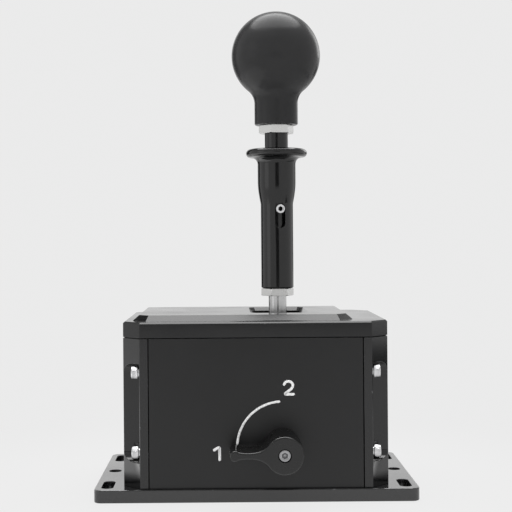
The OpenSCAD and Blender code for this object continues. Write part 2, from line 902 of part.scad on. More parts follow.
module data_socket() {
    y1 = body_d / 2 - socket_sink;
    color("#c3c5c8") at_socket(0) {
        difference() {
            socket_bar(board_y1 - socket_back, y1, socket_w / 2, socket_h / 2);
            socket_bar(y1 - socket_deep, y1 + over, socket_w / 2 - socket_wall, socket_h / 2 - socket_wall);
        }
        block([-socket_tongue_w / 2, y1 - socket_deep - slice, -socket_tongue_t / 2],
            [socket_tongue_w / 2, y1 - socket_wall, socket_tongue_t / 2]);
    }
}

// Side bars of the cradle
module cradle_cheeks() {
    color("#84878b") at_pivot() both_sides() difference() {
        block([cradle_in_x, -cradle_out_y, -cradle_h / 2], [cradle_out_x, cradle_out_y, cradle_h / 2]);
        along_x(cradle_in_x - over, cradle_out_x + over, bush_r + fit);
        both_ends() translate([0, -lock_y, -cradle_screw_drop]) {
            along_x(cradle_in_x - over, cradle_out_x + over, m4_r + head_clear);
            along_x(cradle_out_x - cradle_head_l - head_clear, cradle_out_x + over, m4_head_r + head_clear);
        }
    }
}

// End bars of the cradle, with the trunnion bores, the plunger bores and the lock pin's notch
module cradle_ends() {
    color("#8d9094") at_pivot() {
        difference() {
            cradle_end();
            translate([0, -lock_y, -cradle_h / 2 - over]) cylinder(h = lock_notch + over, r = lock_r + pass);
        }
        mirror([0, 1, 0]) cradle_end();
    }
}

module cradle_end() {
    difference() {
        block([-cradle_in_x, -cradle_out_y, -cradle_h / 2], [cradle_in_x, -cradle_in_y, cradle_h / 2]);
        along_y(-cradle_out_y - over, -cradle_in_y + over, journal_r + fit);
        translate([-shift_x, 0, shift_rise])
            along_y(-cradle_out_y - over, -cradle_in_y + over, barrel_r + fit);
        both_sides() translate([0, -lock_y, -cradle_screw_drop])
            along_x(cradle_in_x - cradle_screw_l + cheek_t - cradle_head_l - tip_gap,
                cradle_in_x + over, m4_r + fit);
    }
}

module cradle_screws() {
    color("#8d8f92") at_pivot() both_sides() both_ends()
        translate([cradle_out_x - cradle_head_l - head_clear, -lock_y, -cradle_screw_drop]) rotate([0, 90, 0])
            cap_screw(m4_r, cradle_screw_l, m4_head_r, cradle_head_l, m4_socket);
}

// Stepped stub shafts pressed into the cradle's ends, running in the panel bearings
module trunnions() {
    color("#d0d1d3") at_pivot() both_ends() {
        along_y(-cradle_out_y, -cradle_in_y - pass, journal_r);
        along_y(-bearing_y + pass, -cradle_out_y, shoulder_r);
        along_y(-bearing_y - bearing_w, -bearing_y + pass, journal_r);
    }
}

module pivot_bushes() {
    color("#b08d57") at_pivot() both_sides() difference() {
        union() {
            along_x(cradle_in_x, cradle_out_x, bush_r);
            along_x(cradle_in_x - flange_t, cradle_in_x, bush_flange_r);
        }
        along_x(cradle_in_x - flange_t - over, cradle_out_x + over, pin_r + run);
    }
}

module pivot_pins() {
    color("#d0d1d3") at_pivot() both_sides() along_x(pin_in, cradle_out_x, pin_r);
}

// The fore-and-aft plungers start at the front or rear face of the lever block
module at_shift(end) {
    at_pivot() mirror([0, (1 + end) / 2 - 1, 0]) translate([-shift_x, block_y, shift_rise])
        rotate([0, 0, 90]) children();
}

module shift_barrels() {
    color("#a7a9ac") for (end = [-1, 1]) at_shift(end) plunger_barrel(shift_barrel_x, shift_barrel_l);
}

module shift_springs() {
    color("#c9cacc") for (end = [-1, 1]) at_shift(end) plunger_spring(
        shift_gap + shift_plunger_l + spring_gap, shift_barrel_x + shift_barrel_l - barrel_cap);
}

module front_plunger() {
    color("#d7d8da") at_shift(-1) translate([shift_gap, 0, 0]) plunger(shift_plunger_l);
}

module rear_plunger() {
    color("#d7d8da") at_shift(1) translate([shift_gap, 0, 0]) plunger(shift_plunger_l);
}

module lever_block() {
    color("#7b7e82") at_pivot() difference() {
        block([-block_x, -block_y, -block_drop], [block_x, block_y, block_rise]);
        translate([0, 0, -block_drop + rod_foot]) cylinder(h = block_drop + block_rise, r = rod_r + fit);
        translate([0, 0, -block_drop - over]) cylinder(h = block_drop, r = lockout_bore_r);
        both_sides() along_x(pin_in, block_x + over, pin_r + fit);
        translate([0, 0, block_rise - set_screw_drop]) along_y(-block_y - over, 0, m4_r + fit);
        translate([magnet_x, 0, -block_drop - over]) cylinder(h = magnet_t + over, r = magnet_r + fit);
    }
}

module lever_magnet() {
    color("#9a9ca0") at_pivot() translate([magnet_x, 0, -block_drop]) cylinder(h = magnet_t, r = magnet_r);
}

module rod_set_screw() {
    color("#8d8f92") at_pivot() translate([0, 0, block_rise - set_screw_drop]) difference() {
        along_y(-block_y, -rod_r - fit, m4_r);
        translate([0, -block_y - over, 0]) rotate([-90, 0, 0])
            cylinder(h = m4_r + over, r = m3_socket / sqrt(3), $fn = 6);
    }
}

// Hollow steel rod from the lever block up into the knob
module lever_rod() {
    z0 = pivot_z - block_drop + rod_foot;
    color("#b2b4b7") translate([lever_x, 0, 0]) difference() {
        translate([0, 0, z0]) cylinder(h = rod_top - z0, r = rod_r);
        translate([0, 0, z0 - over]) cylinder(h = rod_top - z0, r = lockout_bore_r);
        translate([0, 0, head_z - pass]) cylinder(h = rod_top, r = spring_bore_r);
        cross_slot(rod_r);
        guide_bore(lockout_bore_r, rod_r);
    }
}

// Slot along Y in the rod and the tube, in which the cross pin rises with the collar
module cross_slot(r) {
    block([-cross_slot_w / 2, -r - over, cross_z - cross_slot_w / 2],
        [cross_slot_w / 2, r + over, cross_z + collar_lift + cross_slot_w / 2]);
}

// Frame of the guide screw: X points out of the tube, towards the front
module at_guide() {
    translate([0, 0, guide_z]) rotate([0, 0, guide_turn - 90]) children();
}

module guide_bore(r0, r1) {
    at_guide() along_x(r0, r1 + over, m3_r + fit);
}

module guide_screw() {
    color("#d3d4d6") translate([lever_x, 0, 0]) at_guide()
        translate([tube_r, 0, 0]) rotate([0, 90, 0])
            cap_screw(m3_r, guide_screw_l, m3_head_r, guide_head_l, m3_socket);
}

// Hex nut with both rims chamfered, standing on z = 0
module hex_nut(af, t) {
    corner_r = af / sqrt(3);
    difference() {
        intersection() {
            cylinder(h = t, r = corner_r, $fn = 6);
            rotate_extrude() polygon([
                [0, 0], [corner_r - 2 * nut_chamfer, 0], [corner_r, nut_chamfer],
                [corner_r, t - nut_chamfer], [corner_r - 2 * nut_chamfer, t], [0, t]
            ]);
        }
        translate([0, 0, -over]) cylinder(h = t + 2 * over, r = rod_r + fit);
    }
}

module lower_nut() {
    color("#c4c6c8") translate([lever_x, 0, nut_z]) rotate([0, 0, lower_nut_turn]) hex_nut(nut_af, nut_t);
}

module upper_nut() {
    color("#c4c6c8") translate([lever_x, 0, upper_nut_z])
        rotate([0, 0, upper_nut_turn]) hex_nut(upper_nut_af, upper_nut_t);
}

module guide_tube() {
    color("#1f1f21") translate([lever_x, 0, 0]) difference() {
        translate([0, 0, tube_z]) cylinder(h = upper_nut_z - tube_z, r = tube_r);
        translate([0, 0, tube_z - over]) cylinder(h = upper_nut_z - tube_z + 2 * over, r = rod_r + fit);
        cross_slot(tube_r);
        guide_bore(rod_r - over, tube_r);
    }
}

module spring_plug() {
    color("#8d8f92") translate([lever_x, 0, plug_z]) difference() {
        cylinder(h = plug_l, r = spring_bore_r - fit);
        translate([0, 0, plug_l / 2]) cylinder(h = plug_l, r = m4_socket / sqrt(3), $fn = 6);
    }
}

module lockout_spring() {
    z0 = head_z + head_l;
    color("#c9cacc") translate([lever_x, 0, z0])
        coil(lockout_spring_r, lockout_wire_r, plug_z - z0, lockout_turns);
}

module knob_insert() {
    color("#b5974f") translate([lever_x, 0, knob_z + insert_sink]) difference() {
        cylinder(h = insert_l, r = knob_bore_r - fit);
        translate([0, 0, -over]) cylinder(h = insert_l + 2 * over, r = rod_r + fit);
    }
}

// Ball knob: neck, fillet and ball as one outline, with a bore for the threaded insert
module gear_knob() {
    r = knob_d / 2;
    neck = neck_d / 2;
    fillet_z = knob_rise - sqrt(pow(r + neck_fillet, 2) - pow(neck + neck_fillet, 2));
    meet = atan2(knob_rise - fillet_z, -(neck + neck_fillet));
    color("#242426") translate([lever_x, 0, knob_z]) difference() {
        rotate_extrude() polygon(concat(
            [[0, 0]],
            arc([neck - neck_edge, neck_edge], neck_edge, -90, 0),
            arc([neck + neck_fillet, fillet_z], neck_fillet, 180, meet),
            [for (i = [1:3 * arc_steps]) let (a = meet - 180 + (270 - meet) * i / (3 * arc_steps))
                [i == 3 * arc_steps ? 0 : r * cos(a), knob_rise + r * sin(a)]]
        ));
        translate([0, 0, -over]) cylinder(h = knob_bore_l + over, r = knob_bore_r);
    }
}

// Sleeve with a finger flange, drawn as one outline round the guide tube
module lift_collar() {
    low_r = barrel_d / 2;
    grip_r = grip_d / 2;
    bore = tube_r + run;
    edge_r = flange_d / 2 - flange_edge_r;
    edge_z = collar_l - flange_dome - flange_edge_r;
    color("#29292b") translate([lever_x, 0, 0]) difference() {
        translate([0, 0, collar_z]) rotate_extrude() polygon(concat(
            [[bore, 0], [low_r - collar_foot_edge, 0], [low_r, collar_foot_edge]],
            [for (i = [0:taper_steps]) let (t = i / taper_steps)
                [low_r + (grip_r - low_r) * sin(90 * t), taper_z + taper_l * t]],
            arc([grip_r + cove_r, edge_z - flange_edge_r - cove_r], cove_r, 180, 90),
            arc([edge_r, edge_z], flange_edge_r, -90, 90),
            [[flange_flat_r, collar_l], [bore, collar_l]]
        ));
        at_guide() translate([0, 0, -collar_lift - guide_slack]) {
            along_x(0, barrel_d, guide_slot_w / 2);
            block([0, -guide_slot_w / 2, 0], [barrel_d, guide_slot_w / 2, guide_slot_l - guide_slot_w]);
            translate([0, 0, guide_slot_l - guide_slot_w]) along_x(0, barrel_d, guide_slot_w / 2);
        }
        translate([0, 0, cross_z]) along_y(-cross_l_front, grip_d, cross_r + fit);
    }
}

module cross_pin() {
    color("#c9cacc") translate([lever_x, 0, cross_z])
        along_y(-cross_l_front, grip_d / 2 - 2 * cross_sink, cross_r);
}

module lockout_rod() {
    color("#c0c2c5") translate([lever_x, 0, 0]) difference() {
        union() {
            translate([0, 0, pivot_z - lockout_drop])
                cylinder(h = head_z - pivot_z + lockout_drop + slice, r = lockout_r);
            translate([0, 0, head_z]) cylinder(h = head_l, r = lockout_head_r);
        }
        translate([0, 0, cross_z]) along_y(-rod_r, rod_r, cross_r + fit);
    }
}

// Half width of the selector's handle at a share s of its length
function handle_half(s) = s < waist_share
    ? (waist_w + (handle_root_w - waist_w)
        * pow((waist_share - s) / (waist_share - root_share), waist_power)) / 2
    : (waist_w + (tip_w - waist_w) * pow((s - waist_share) / (tip_share - waist_share), 2)) / 2;

// Handle in plan, pointing along -X from the shaft's axis
module handle_plan() {
    side = [for (i = [0:handle_steps]) let (s = root_share + (tip_share - root_share) * i / handle_steps)
        [-handle_l * s, handle_half(s)]];
    polygon(concat([[0, handle_root_w / 2]], side, [for (i = [handle_steps:-1:0]) [side[i][0], -side[i][1]]],
        [[0, -handle_root_w / 2]]));
    translate([-handle_l + tip_w / 2, 0]) circle(r = tip_w / 2);
}

module mode_lever() {
    y0 = front_y - hub_reach;
    head_y = y0 + hub_sink + hub_head_l;
    color("#303032") translate([lever_x, 0, selector_z]) difference() {
        union() {
            along_y(y0, front_y - hub_gap, hub_d / 2);
            translate([0, y0, 0]) rotate([-90, 0, 0]) linear_extrude(handle_t) handle_plan();
        }
        along_y(y0 - over, head_y, hub_head_r + head_clear);
        along_y(y0, head_y + hub_wall + over, m4_r + head_clear);
        along_y(head_y + hub_wall, front_y, shaft_r + fit);
    }
}

// Shaft through the front panel, with an eccentric end under the lock pin
module selector_shaft() {
    y0 = front_y - hub_reach + hub_sink + hub_head_l + hub_wall;
    color("#c0c2c5") translate([lever_x, 0, selector_z]) difference() {
        union() {
            along_y(y0, -cam_y - cam_w + slice, shaft_r);
            translate([0, 0, cam_throw]) along_y(-cam_y - cam_w, -cam_y, cam_r);
        }
        along_y(y0 - over, y0 + hub_screw_l - hub_wall + tip_gap, m4_r + fit);
    }
}

module hub_screw() {
    color("#a5a7aa") translate([lever_x, front_y - hub_reach + hub_sink + hub_head_l, selector_z])
        rotate([90, 0, 0]) cap_screw(m4_r, hub_screw_l, hub_head_r, hub_head_l, m4_socket);
}

// Clamp ring that keeps the shaft in its bush
module shaft_collar() {
    y1 = -inner_y + flange_t + pass;
    color("#8d9094") translate([lever_x, 0, selector_z]) difference() {
        along_y(y1, y1 + collar_w, collar_r);
        along_y(y1 - over, y1 + collar_w + over, shaft_r + fit);
    }
}

base_plate();
left_side_plate();
right_side_plate();
front_panel();
rear_panel();
cover_gasket();
top_cover();
tie_screws();
panel_screws();
side_screws();
side_washers();
stop_frame();
stop_buffer();
stop_screws();
centring_posts();
centring_barrels();
centring_springs();
left_plunger();
right_plunger();
trunnion_bearings();
selector_bush();
lock_guide();
reverse_stop();
sensor_stand();
sensor_board();
circuit_board();
board_standoffs();
data_socket();
bracket_screws();
cradle_cheeks();
cradle_ends();
cradle_screws();
trunnions();
pivot_bushes();
shift_barrels();
shift_springs();
front_plunger();
rear_plunger();
lever_block();
pivot_pins();
lever_rod();
rod_set_screw();
lower_nut();
guide_tube();
guide_screw();
upper_nut();
knob_insert();
gear_knob();
spring_plug();
lockout_spring();
lever_magnet();
lift_collar();
cross_pin();
lockout_rod();
mode_lever();
selector_shaft();
hub_screw();
shaft_collar();
lock_pin();
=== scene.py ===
# Gear shifter for a driving-game rig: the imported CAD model, dressed and lit as in one photograph.
# Each section below is one piece, or one group of like pieces, in the order in which they go together.
import math

import bmesh
import bpy
import numpy as np
from mathutils.geometry import delaunay_2d_cdt
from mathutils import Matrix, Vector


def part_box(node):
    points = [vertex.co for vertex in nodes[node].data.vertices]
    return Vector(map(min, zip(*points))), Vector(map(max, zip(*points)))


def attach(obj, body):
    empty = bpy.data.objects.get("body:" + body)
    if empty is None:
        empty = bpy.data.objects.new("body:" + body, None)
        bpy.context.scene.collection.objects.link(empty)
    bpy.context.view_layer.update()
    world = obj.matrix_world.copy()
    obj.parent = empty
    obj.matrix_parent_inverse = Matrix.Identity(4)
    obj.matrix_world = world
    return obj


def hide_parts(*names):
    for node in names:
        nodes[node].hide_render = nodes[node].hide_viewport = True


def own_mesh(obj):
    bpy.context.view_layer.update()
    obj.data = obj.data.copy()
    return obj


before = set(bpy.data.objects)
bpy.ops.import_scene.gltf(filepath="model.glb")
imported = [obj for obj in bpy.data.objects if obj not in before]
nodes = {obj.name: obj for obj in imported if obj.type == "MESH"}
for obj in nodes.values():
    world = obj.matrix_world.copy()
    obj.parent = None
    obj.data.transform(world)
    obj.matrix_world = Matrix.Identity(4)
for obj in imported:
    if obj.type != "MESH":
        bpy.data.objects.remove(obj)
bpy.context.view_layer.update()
lever_x = 0.015

# Studio camera: level with the collar, a little left of the box, turned by under half a degree, with
# the lens shifted so that the whole lever fits above the base plate.
scene = bpy.context.scene
scene.view_settings.view_transform = "Standard"
photo_px = 512
focal_px = 1100
sensor_mm = 36
camera = bpy.data.objects.new("camera", bpy.data.cameras.new("camera"))
scene.collection.objects.link(camera)
camera.data.sensor_width = sensor_mm
camera.data.lens = sensor_mm * focal_px / photo_px
camera.data.shift_x = 26.8 / photo_px
camera.data.shift_y = -16 / photo_px
camera.location = (-0.0147, -0.682, 0.150)
camera.rotation_euler = (math.radians(90), math.radians(0.45), 0)
scene.camera = camera


# Studio floor and surround: one pale sheet that carries the shifter's soft shadow and goes over,
# further out, into an even pale surround of the same tone. Reflections see the studio's ceiling darker.
def put(tree, kind, settings=None, **sockets):
    """Adds a node. Settings are its own properties; each socket gets a number, a colour or an output to join."""
    node = tree.nodes.new(kind)
    for key, value in (settings or {}).items():
        setattr(node, key, value)
    for key, value in sockets.items():
        socket = node.inputs[int(key[2:])] if key.startswith("in") else node.inputs[key.replace("_", " ")]
        if isinstance(value, bpy.types.NodeSocket):
            tree.links.new(value, socket)
        else:
            socket.default_value = value
    return node


pale = (0.828, 0.828, 0.828, 1)
world = bpy.data.worlds.new("surround")
scene.world = world
world.use_nodes = True
tree = world.node_tree
sky = put(tree, "ShaderNodeSeparateXYZ", Vector=put(tree, "ShaderNodeTexCoord").outputs["Generated"])
dim = put(tree, "ShaderNodeMapRange", {"interpolation_type": "SMOOTHSTEP"}, Value=sky.outputs["Z"],
          From_Min=0.24, From_Max=0.50, To_Min=0.0, To_Max=0.3)
mirrored = put(tree, "ShaderNodeMath", {"operation": "MULTIPLY"}, in0=dim.outputs["Result"],
               in1=put(tree, "ShaderNodeLightPath").outputs["Is Glossy Ray"])
strength = put(tree, "ShaderNodeMath", {"operation": "SUBTRACT"}, in0=1.0, in1=mirrored.outputs["Value"])
tree.nodes["Background"].inputs["Color"].default_value = pale
tree.links.new(strength.outputs["Value"], tree.nodes["Background"].inputs["Strength"])

square = np.array([[-1, -1, 0], [1, -1, 0], [1, 1, 0], [-1, 1, 0]])
half_floor, floor_drop = 4.0, 0.0002
floor_mesh = bpy.data.meshes.new("floor")
floor_mesh.from_pydata((square * half_floor - [0, 0, floor_drop]).tolist(), [], [(0, 1, 2, 3)])
floor = bpy.data.objects.new("floor", floor_mesh)
scene.collection.objects.link(floor)
floor_finish = bpy.data.materials.new("pale_floor")
floor_finish.use_nodes = True
tree = floor_finish.node_tree
tree.nodes.clear()
place = put(tree, "ShaderNodeTexCoord")
reach = put(tree, "ShaderNodeVectorMath", {"operation": "LENGTH"}, in0=place.outputs["Object"])
far = put(tree, "ShaderNodeMapRange", {"interpolation_type": "SMOOTHSTEP"}, Value=reach.outputs["Value"],
          From_Min=0.09, From_Max=0.28, To_Min=0.95, To_Max=1.0)
seen = put(tree, "ShaderNodeLightPath")
straight = put(tree, "ShaderNodeMath", {"operation": "MAXIMUM"}, in0=seen.outputs["Is Camera Ray"],
               in1=seen.outputs["Is Glossy Ray"])
share = put(tree, "ShaderNodeMath", {"operation": "MULTIPLY"}, in0=far.outputs["Result"],
            in1=straight.outputs["Value"])
mottle = put(tree, "ShaderNodeTexNoise", Vector=place.outputs["Object"], Scale=9.0, Detail=3.0)
tone = put(tree, "ShaderNodeMapRange", Value=mottle.outputs["Fac"], To_Min=0.70, To_Max=0.74)
sheet = put(tree, "ShaderNodeBsdfPrincipled", Base_Color=tone.outputs["Result"], Roughness=0.9)
glow = put(tree, "ShaderNodeEmission", Color=pale, Strength=1.0)
blend = put(tree, "ShaderNodeMixShader", in0=share.outputs["Value"], in1=sheet.outputs["BSDF"],
            in2=glow.outputs["Emission"])
put(tree, "ShaderNodeOutputMaterial", Surface=blend.outputs["Shader"])
floor_mesh.materials.append(floor_finish)


# Studio lamps: a wide soft box overhead, whose near edge shows as the bright cap on the knob, a weak tall
# one in front on the left, one on the right, set high and back, for the right rims, and a sheet of light
# on the floor at the left. Black cards outside the view give the gloss its dark lines, as a photographer's do.
def facing(thing, place, aim):
    """Puts a lamp or card at a place so that its face (local -Z) looks at the aim."""
    scene.collection.objects.link(thing)
    thing.location = place
    away = thing.location - type(thing.location)(aim)
    thing.rotation_euler = away.to_track_quat("Z", "Y").to_euler()
    thing.visible_camera = False


def soft_lamp(name, place, aim, wide, tall, radiance, shape="RECTANGLE"):
    """Area lamp of wide by tall metres: its power is its radiance times pi times its area."""
    lamp = bpy.data.lights.new(name, "AREA")
    lamp.shape, lamp.size, lamp.size_y = shape, wide, tall
    lamp.energy = radiance * math.pi * wide * tall * (math.pi / 4 if shape == "ELLIPSE" else 1)
    facing(bpy.data.objects.new(name, lamp), place, aim)


card_finish = bpy.data.materials.new("black_card")
card_finish.use_nodes = True
tree = card_finish.node_tree
fibres = put(tree, "ShaderNodeTexNoise", Scale=60.0, Detail=3.0)
card_tone = put(tree, "ShaderNodeMapRange", Value=fibres.outputs["Fac"], To_Min=0.015, To_Max=0.03)
tree.links.new(card_tone.outputs["Result"], tree.nodes["Principled BSDF"].inputs["Base Color"])
tree.nodes["Principled BSDF"].inputs["Roughness"].default_value = 0.9


def black_card(name, place, aim, wide, tall):
    """Flat card of wide by tall metres that only reflections see."""
    mesh = bpy.data.meshes.new(name)
    mesh.from_pydata((square * [wide / 2, tall / 2, 0]).tolist(), [], [(0, 1, 2, 3)])
    mesh.materials.append(card_finish)
    card = bpy.data.objects.new(name, mesh)
    facing(card, place, aim)


soft_lamp("lamp_overhead", (0.0, 0.25, 1.25), (0.0, 0.25, 0.0), 1.50, 1.28, 5.2, "ELLIPSE")
soft_lamp("lamp_front_left", (-1.15, -0.55, 0.45), (0.0, 0.0, 0.15), 0.6, 0.9, 0.5)
soft_lamp("lamp_right_back", (0.74, 0.95, 0.68), (0.0, 0.0, 0.26), 0.36, 0.56, 1.6)
soft_lamp("lamp_floor_left", (-0.34, 0.0, 0.001), (-0.34, 0.0, 0.9), 0.40, 0.50, 0.9)
black_card("card_left_back", (-0.628, 0.766, 0.60), (lever_x, 0.0, 0.60), 0.50, 1.7)
black_card("card_right_back", (0.55, 0.83, 0.19), (lever_x, 0.0, 0.19), 0.28, 0.18)
black_card("card_camera", (0.02, -1.30, 0.205), (0.02, 0.0, 0.205), 0.50, 0.35)
black_card("card_right_low", (0.45, 0.05, 0.027), (0.0, 0.05, 0.027), 0.60, 0.054)


# Base plate: a slab of black anodised aluminium, blasted before it was coloured, its edges eased.
# Two slots and a round hole in each flange take the rig's bolts; everything else stands on it.
def effect(name, takes, gives):
    """Empty node group with the named inputs and outputs: returns its tree, its input and its output node."""
    group = bpy.data.node_groups.new(name, "ShaderNodeTree")
    for label, kind in takes:
        group.interface.new_socket(label, in_out="INPUT", socket_type="NodeSocket" + kind)
    for label, kind in gives:
        group.interface.new_socket(label, in_out="OUTPUT", socket_type="NodeSocket" + kind)
    return group, group.nodes.new("NodeGroupInput"), group.nodes.new("NodeGroupOutput")


# Fine grain of a blasted or moulded skin, with slow patches from handling
grain, grain_in, grain_out = effect(
    "fine_grain", [("Place", "Vector"), ("Size", "Float"), ("Patch", "Float")],
    [("Height", "Float"), ("Speck", "Float"), ("Tone", "Float")])
fine = put(grain, "ShaderNodeTexNoise", Vector=grain_in.outputs["Place"], Scale=grain_in.outputs["Size"],
           Detail=3.0, Roughness=0.6)
cells = put(grain, "ShaderNodeTexVoronoi", Vector=grain_in.outputs["Place"], Scale=grain_in.outputs["Size"])
patches = put(grain, "ShaderNodeTexNoise", Vector=grain_in.outputs["Place"], Scale=grain_in.outputs["Patch"],
              Detail=4.0, Roughness=0.55)
relief = put(grain, "ShaderNodeMath", {"operation": "MULTIPLY_ADD"}, in0=cells.outputs["Distance"], in1=0.5,
             in2=fine.outputs["Fac"])
speck = put(grain, "ShaderNodeMapRange", Value=fine.outputs["Fac"], From_Min=0.35, From_Max=0.65)
grain.links.new(relief.outputs["Value"], grain_out.inputs["Height"])
grain.links.new(speck.outputs["Result"], grain_out.inputs["Speck"])
grain.links.new(patches.outputs["Fac"], grain_out.inputs["Tone"])

# Rub along eased edges: the edge attribute, broken up by patches so that only stretches of it show
rub, rub_in, rub_out = effect(
    "rubbed_edge", [("Edge", "Float"), ("Place", "Vector"), ("Amount", "Float")], [("Mask", "Float")])
broken = put(rub, "ShaderNodeTexNoise", Vector=rub_in.outputs["Place"], Scale=220.0, Detail=5.0, Roughness=0.7)
least = put(rub, "ShaderNodeMath", {"operation": "SUBTRACT"}, in0=0.72, in1=rub_in.outputs["Amount"])
kept = put(rub, "ShaderNodeMath", {"operation": "SUBTRACT"}, in0=broken.outputs["Fac"], in1=least.outputs["Value"])
soft = put(rub, "ShaderNodeMath", {"operation": "MULTIPLY", "use_clamp": True}, in0=kept.outputs["Value"], in1=6.0)
only = put(rub, "ShaderNodeMath", {"operation": "MULTIPLY", "use_clamp": True}, in0=soft.outputs["Value"],
           in1=rub_in.outputs["Edge"])
rub.links.new(only.outputs["Value"], rub_out.inputs["Mask"])

# Tool lines of a turned or ground surface: noise that is drawn out fifty times in X and Y, so it changes along Z
lines, lines_in, lines_out = effect(
    "tool_lines", [("Place", "Vector"), ("Pitch", "Float")], [("Height", "Float")])
stretched = put(lines, "ShaderNodeVectorMath", {"operation": "MULTIPLY"}, in0=lines_in.outputs["Place"],
                in1=(0.02, 0.02, 1.0))
streaks = put(lines, "ShaderNodeTexNoise", Vector=stretched.outputs["Vector"], Scale=lines_in.outputs["Pitch"],
              Detail=2.0, Roughness=0.5)
lines.links.new(streaks.outputs["Fac"], lines_out.inputs["Height"])


def finish(name, dark, light, rough, metal=0.0, bare=None, rubbed=0.0, size=4000.0, patch=30.0, depth=0.00002,
           pitch=0.0, coat=0.0, coat_rough=0.1, level=0.5, spread=0.06, darkens_marked=False):
    """Material between a dark and a light tone that the grain picks from. Roughness wanders by the spread around
    its value, and the grain, with tool lines where there is a pitch, lifts the normal by the depth. Rubbed edges go
    towards the bare colour, and faces marked dull go near black where that is asked: painted shade in screw sockets,
    and dark shanks."""
    made = bpy.data.materials.new(name)
    made.use_nodes = True
    tree = made.node_tree
    shader = tree.nodes["Principled BSDF"]
    place = put(tree, "ShaderNodeTexCoord").outputs["Object"]
    skin = put(tree, "ShaderNodeGroup", {"node_tree": grain}, Place=place, Size=size, Patch=patch)
    blend = put(tree, "ShaderNodeMath", {"operation": "MULTIPLY_ADD"}, in0=skin.outputs["Speck"], in1=0.35,
                in2=skin.outputs["Tone"])
    colour = put(tree, "ShaderNodeMix", {"data_type": "RGBA"}, in0=blend.outputs["Value"], in6=(*dark, 1),
                 in7=(*light, 1)).outputs[2]
    height = skin.outputs["Height"]
    if pitch:
        marks = put(tree, "ShaderNodeGroup", {"node_tree": lines}, Place=place, Pitch=pitch)
        height = put(tree, "ShaderNodeMath", {"operation": "MULTIPLY_ADD"}, in0=marks.outputs["Height"], in1=2.0,
                     in2=height).outputs["Value"]
    wander = put(tree, "ShaderNodeMapRange", Value=skin.outputs["Tone"], From_Min=0.3, From_Max=0.7,
                 To_Min=rough - spread, To_Max=rough + spread).outputs["Result"]
    if rubbed:
        edge = put(tree, "ShaderNodeAttribute", {"attribute_name": "edge"}).outputs["Fac"]
        mask = put(tree, "ShaderNodeGroup", {"node_tree": rub}, Edge=edge, Place=place, Amount=rubbed).outputs["Mask"]
        colour = put(tree, "ShaderNodeMix", {"data_type": "RGBA"}, in0=mask, in6=colour, in7=(*bare, 1)).outputs[2]
        if metal < 1:
            tree.links.new(mask, shader.inputs["Metallic"])
    bump = put(tree, "ShaderNodeBump", Height=height, Distance=depth, Strength=1.0)
    tree.links.new(wander, shader.inputs["Roughness"])
    tree.links.new(bump.outputs["Normal"], shader.inputs["Normal"])
    if metal == 1:
        shader.inputs["Metallic"].default_value = 1.0
    # Painted shade: faces marked dull go near black. These are the floors of screw sockets, and the screws' shanks as
    # well.
    if darkens_marked:
        marked_dark = put(tree, "ShaderNodeAttribute", {"attribute_name": "dull"}).outputs["Fac"]
        colour = put(tree, "ShaderNodeMix", {"data_type": "RGBA"}, in0=marked_dark, in6=colour,
                     in7=(0.010, 0.010, 0.010, 1)).outputs[2]
    tree.links.new(colour, shader.inputs["Base Color"])
    shader.inputs["Specular IOR Level"].default_value = level
    shader.inputs["Coat Weight"].default_value = coat
    shader.inputs["Coat Roughness"].default_value = coat_rough
    return made


def show(mesh, name, look, body, slot, *stands_for):
    """Puts a finished mesh in the scene as a piece with a look, a body to ride on and the nodes it stands for."""
    shown = bpy.data.objects.new(name, mesh)
    scene.collection.objects.link(shown)
    mesh.materials.clear()
    mesh.materials.append(look)
    mesh.shade_smooth()
    even = shown.modifiers.new("even_normals", "WEIGHTED_NORMAL")
    even.weight, even.keep_sharp = 60, True
    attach(shown, body)
    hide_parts(*stands_for)
    return shown


def ease(shape, width, steps=2, sharpest=28, chosen=None):
    """Rounds the edges of a bmesh that turn by more than the given angle, or those of them that are chosen by their
    middle, and marks the new faces with edge = 1 in a corner attribute."""
    edge = shape.loops.layers.float.get("edge") or shape.loops.layers.float.new("edge")
    sharp = [e for e in shape.edges if e.is_manifold and e.calc_face_angle() > math.radians(sharpest)
             and (chosen is None or chosen((e.verts[0].co + e.verts[1].co) / 2))]
    fresh = bmesh.ops.bevel(shape, geom=sharp, offset=width, offset_type="OFFSET", segments=steps, profile=0.5,
                            affect="EDGES", clamp_overlap=False)
    for face in fresh["faces"]:
        for corner in face.loops:
            corner[edge] = 1.0


def eased_copy(node, *rounds):
    """Copy of a CAD node's mesh with its doubles merged, its flat triangles joined and its edges rounded: each round
    is a width, its steps and, where it is for some edges alone, a test of an edge's middle."""
    mesh = bpy.data.meshes.new(node + "_eased")
    shape = bmesh.new()
    shape.from_mesh(nodes[node].data)
    bmesh.ops.remove_doubles(shape, verts=shape.verts, dist=1e-6)
    bmesh.ops.dissolve_limit(shape, angle_limit=math.radians(0.2), verts=shape.verts, edges=shape.edges)
    for width, steps, *chosen in rounds:
        ease(shape, width, steps, chosen=chosen[0] if chosen else None)
    shape.to_mesh(mesh)
    shape.free()
    return mesh


def dress(look, *names):
    """Gives CAD nodes that stay as they are a better material."""
    for name in names:
        nodes[name].data.materials.clear()
        nodes[name].data.materials.append(look)


bare_metal = (0.30, 0.30, 0.31)
black_plate = finish("black_plate", (0.007, 0.007, 0.0073), (0.013, 0.013, 0.0135), 0.20, bare=bare_metal,
                     rubbed=0.10, size=5200.0, depth=0.000002, coat=0.8, coat_rough=0.08)
flange_x, rim_y = 0.080, 0.0535
show(eased_copy("base_plate", (0.0006, 3, lambda m: abs(m.x) > flange_x or abs(m.y) > rim_y), (0.0002, 1)),
     "base_plate_eased", black_plate, "housing", "black_plate", "base_plate")

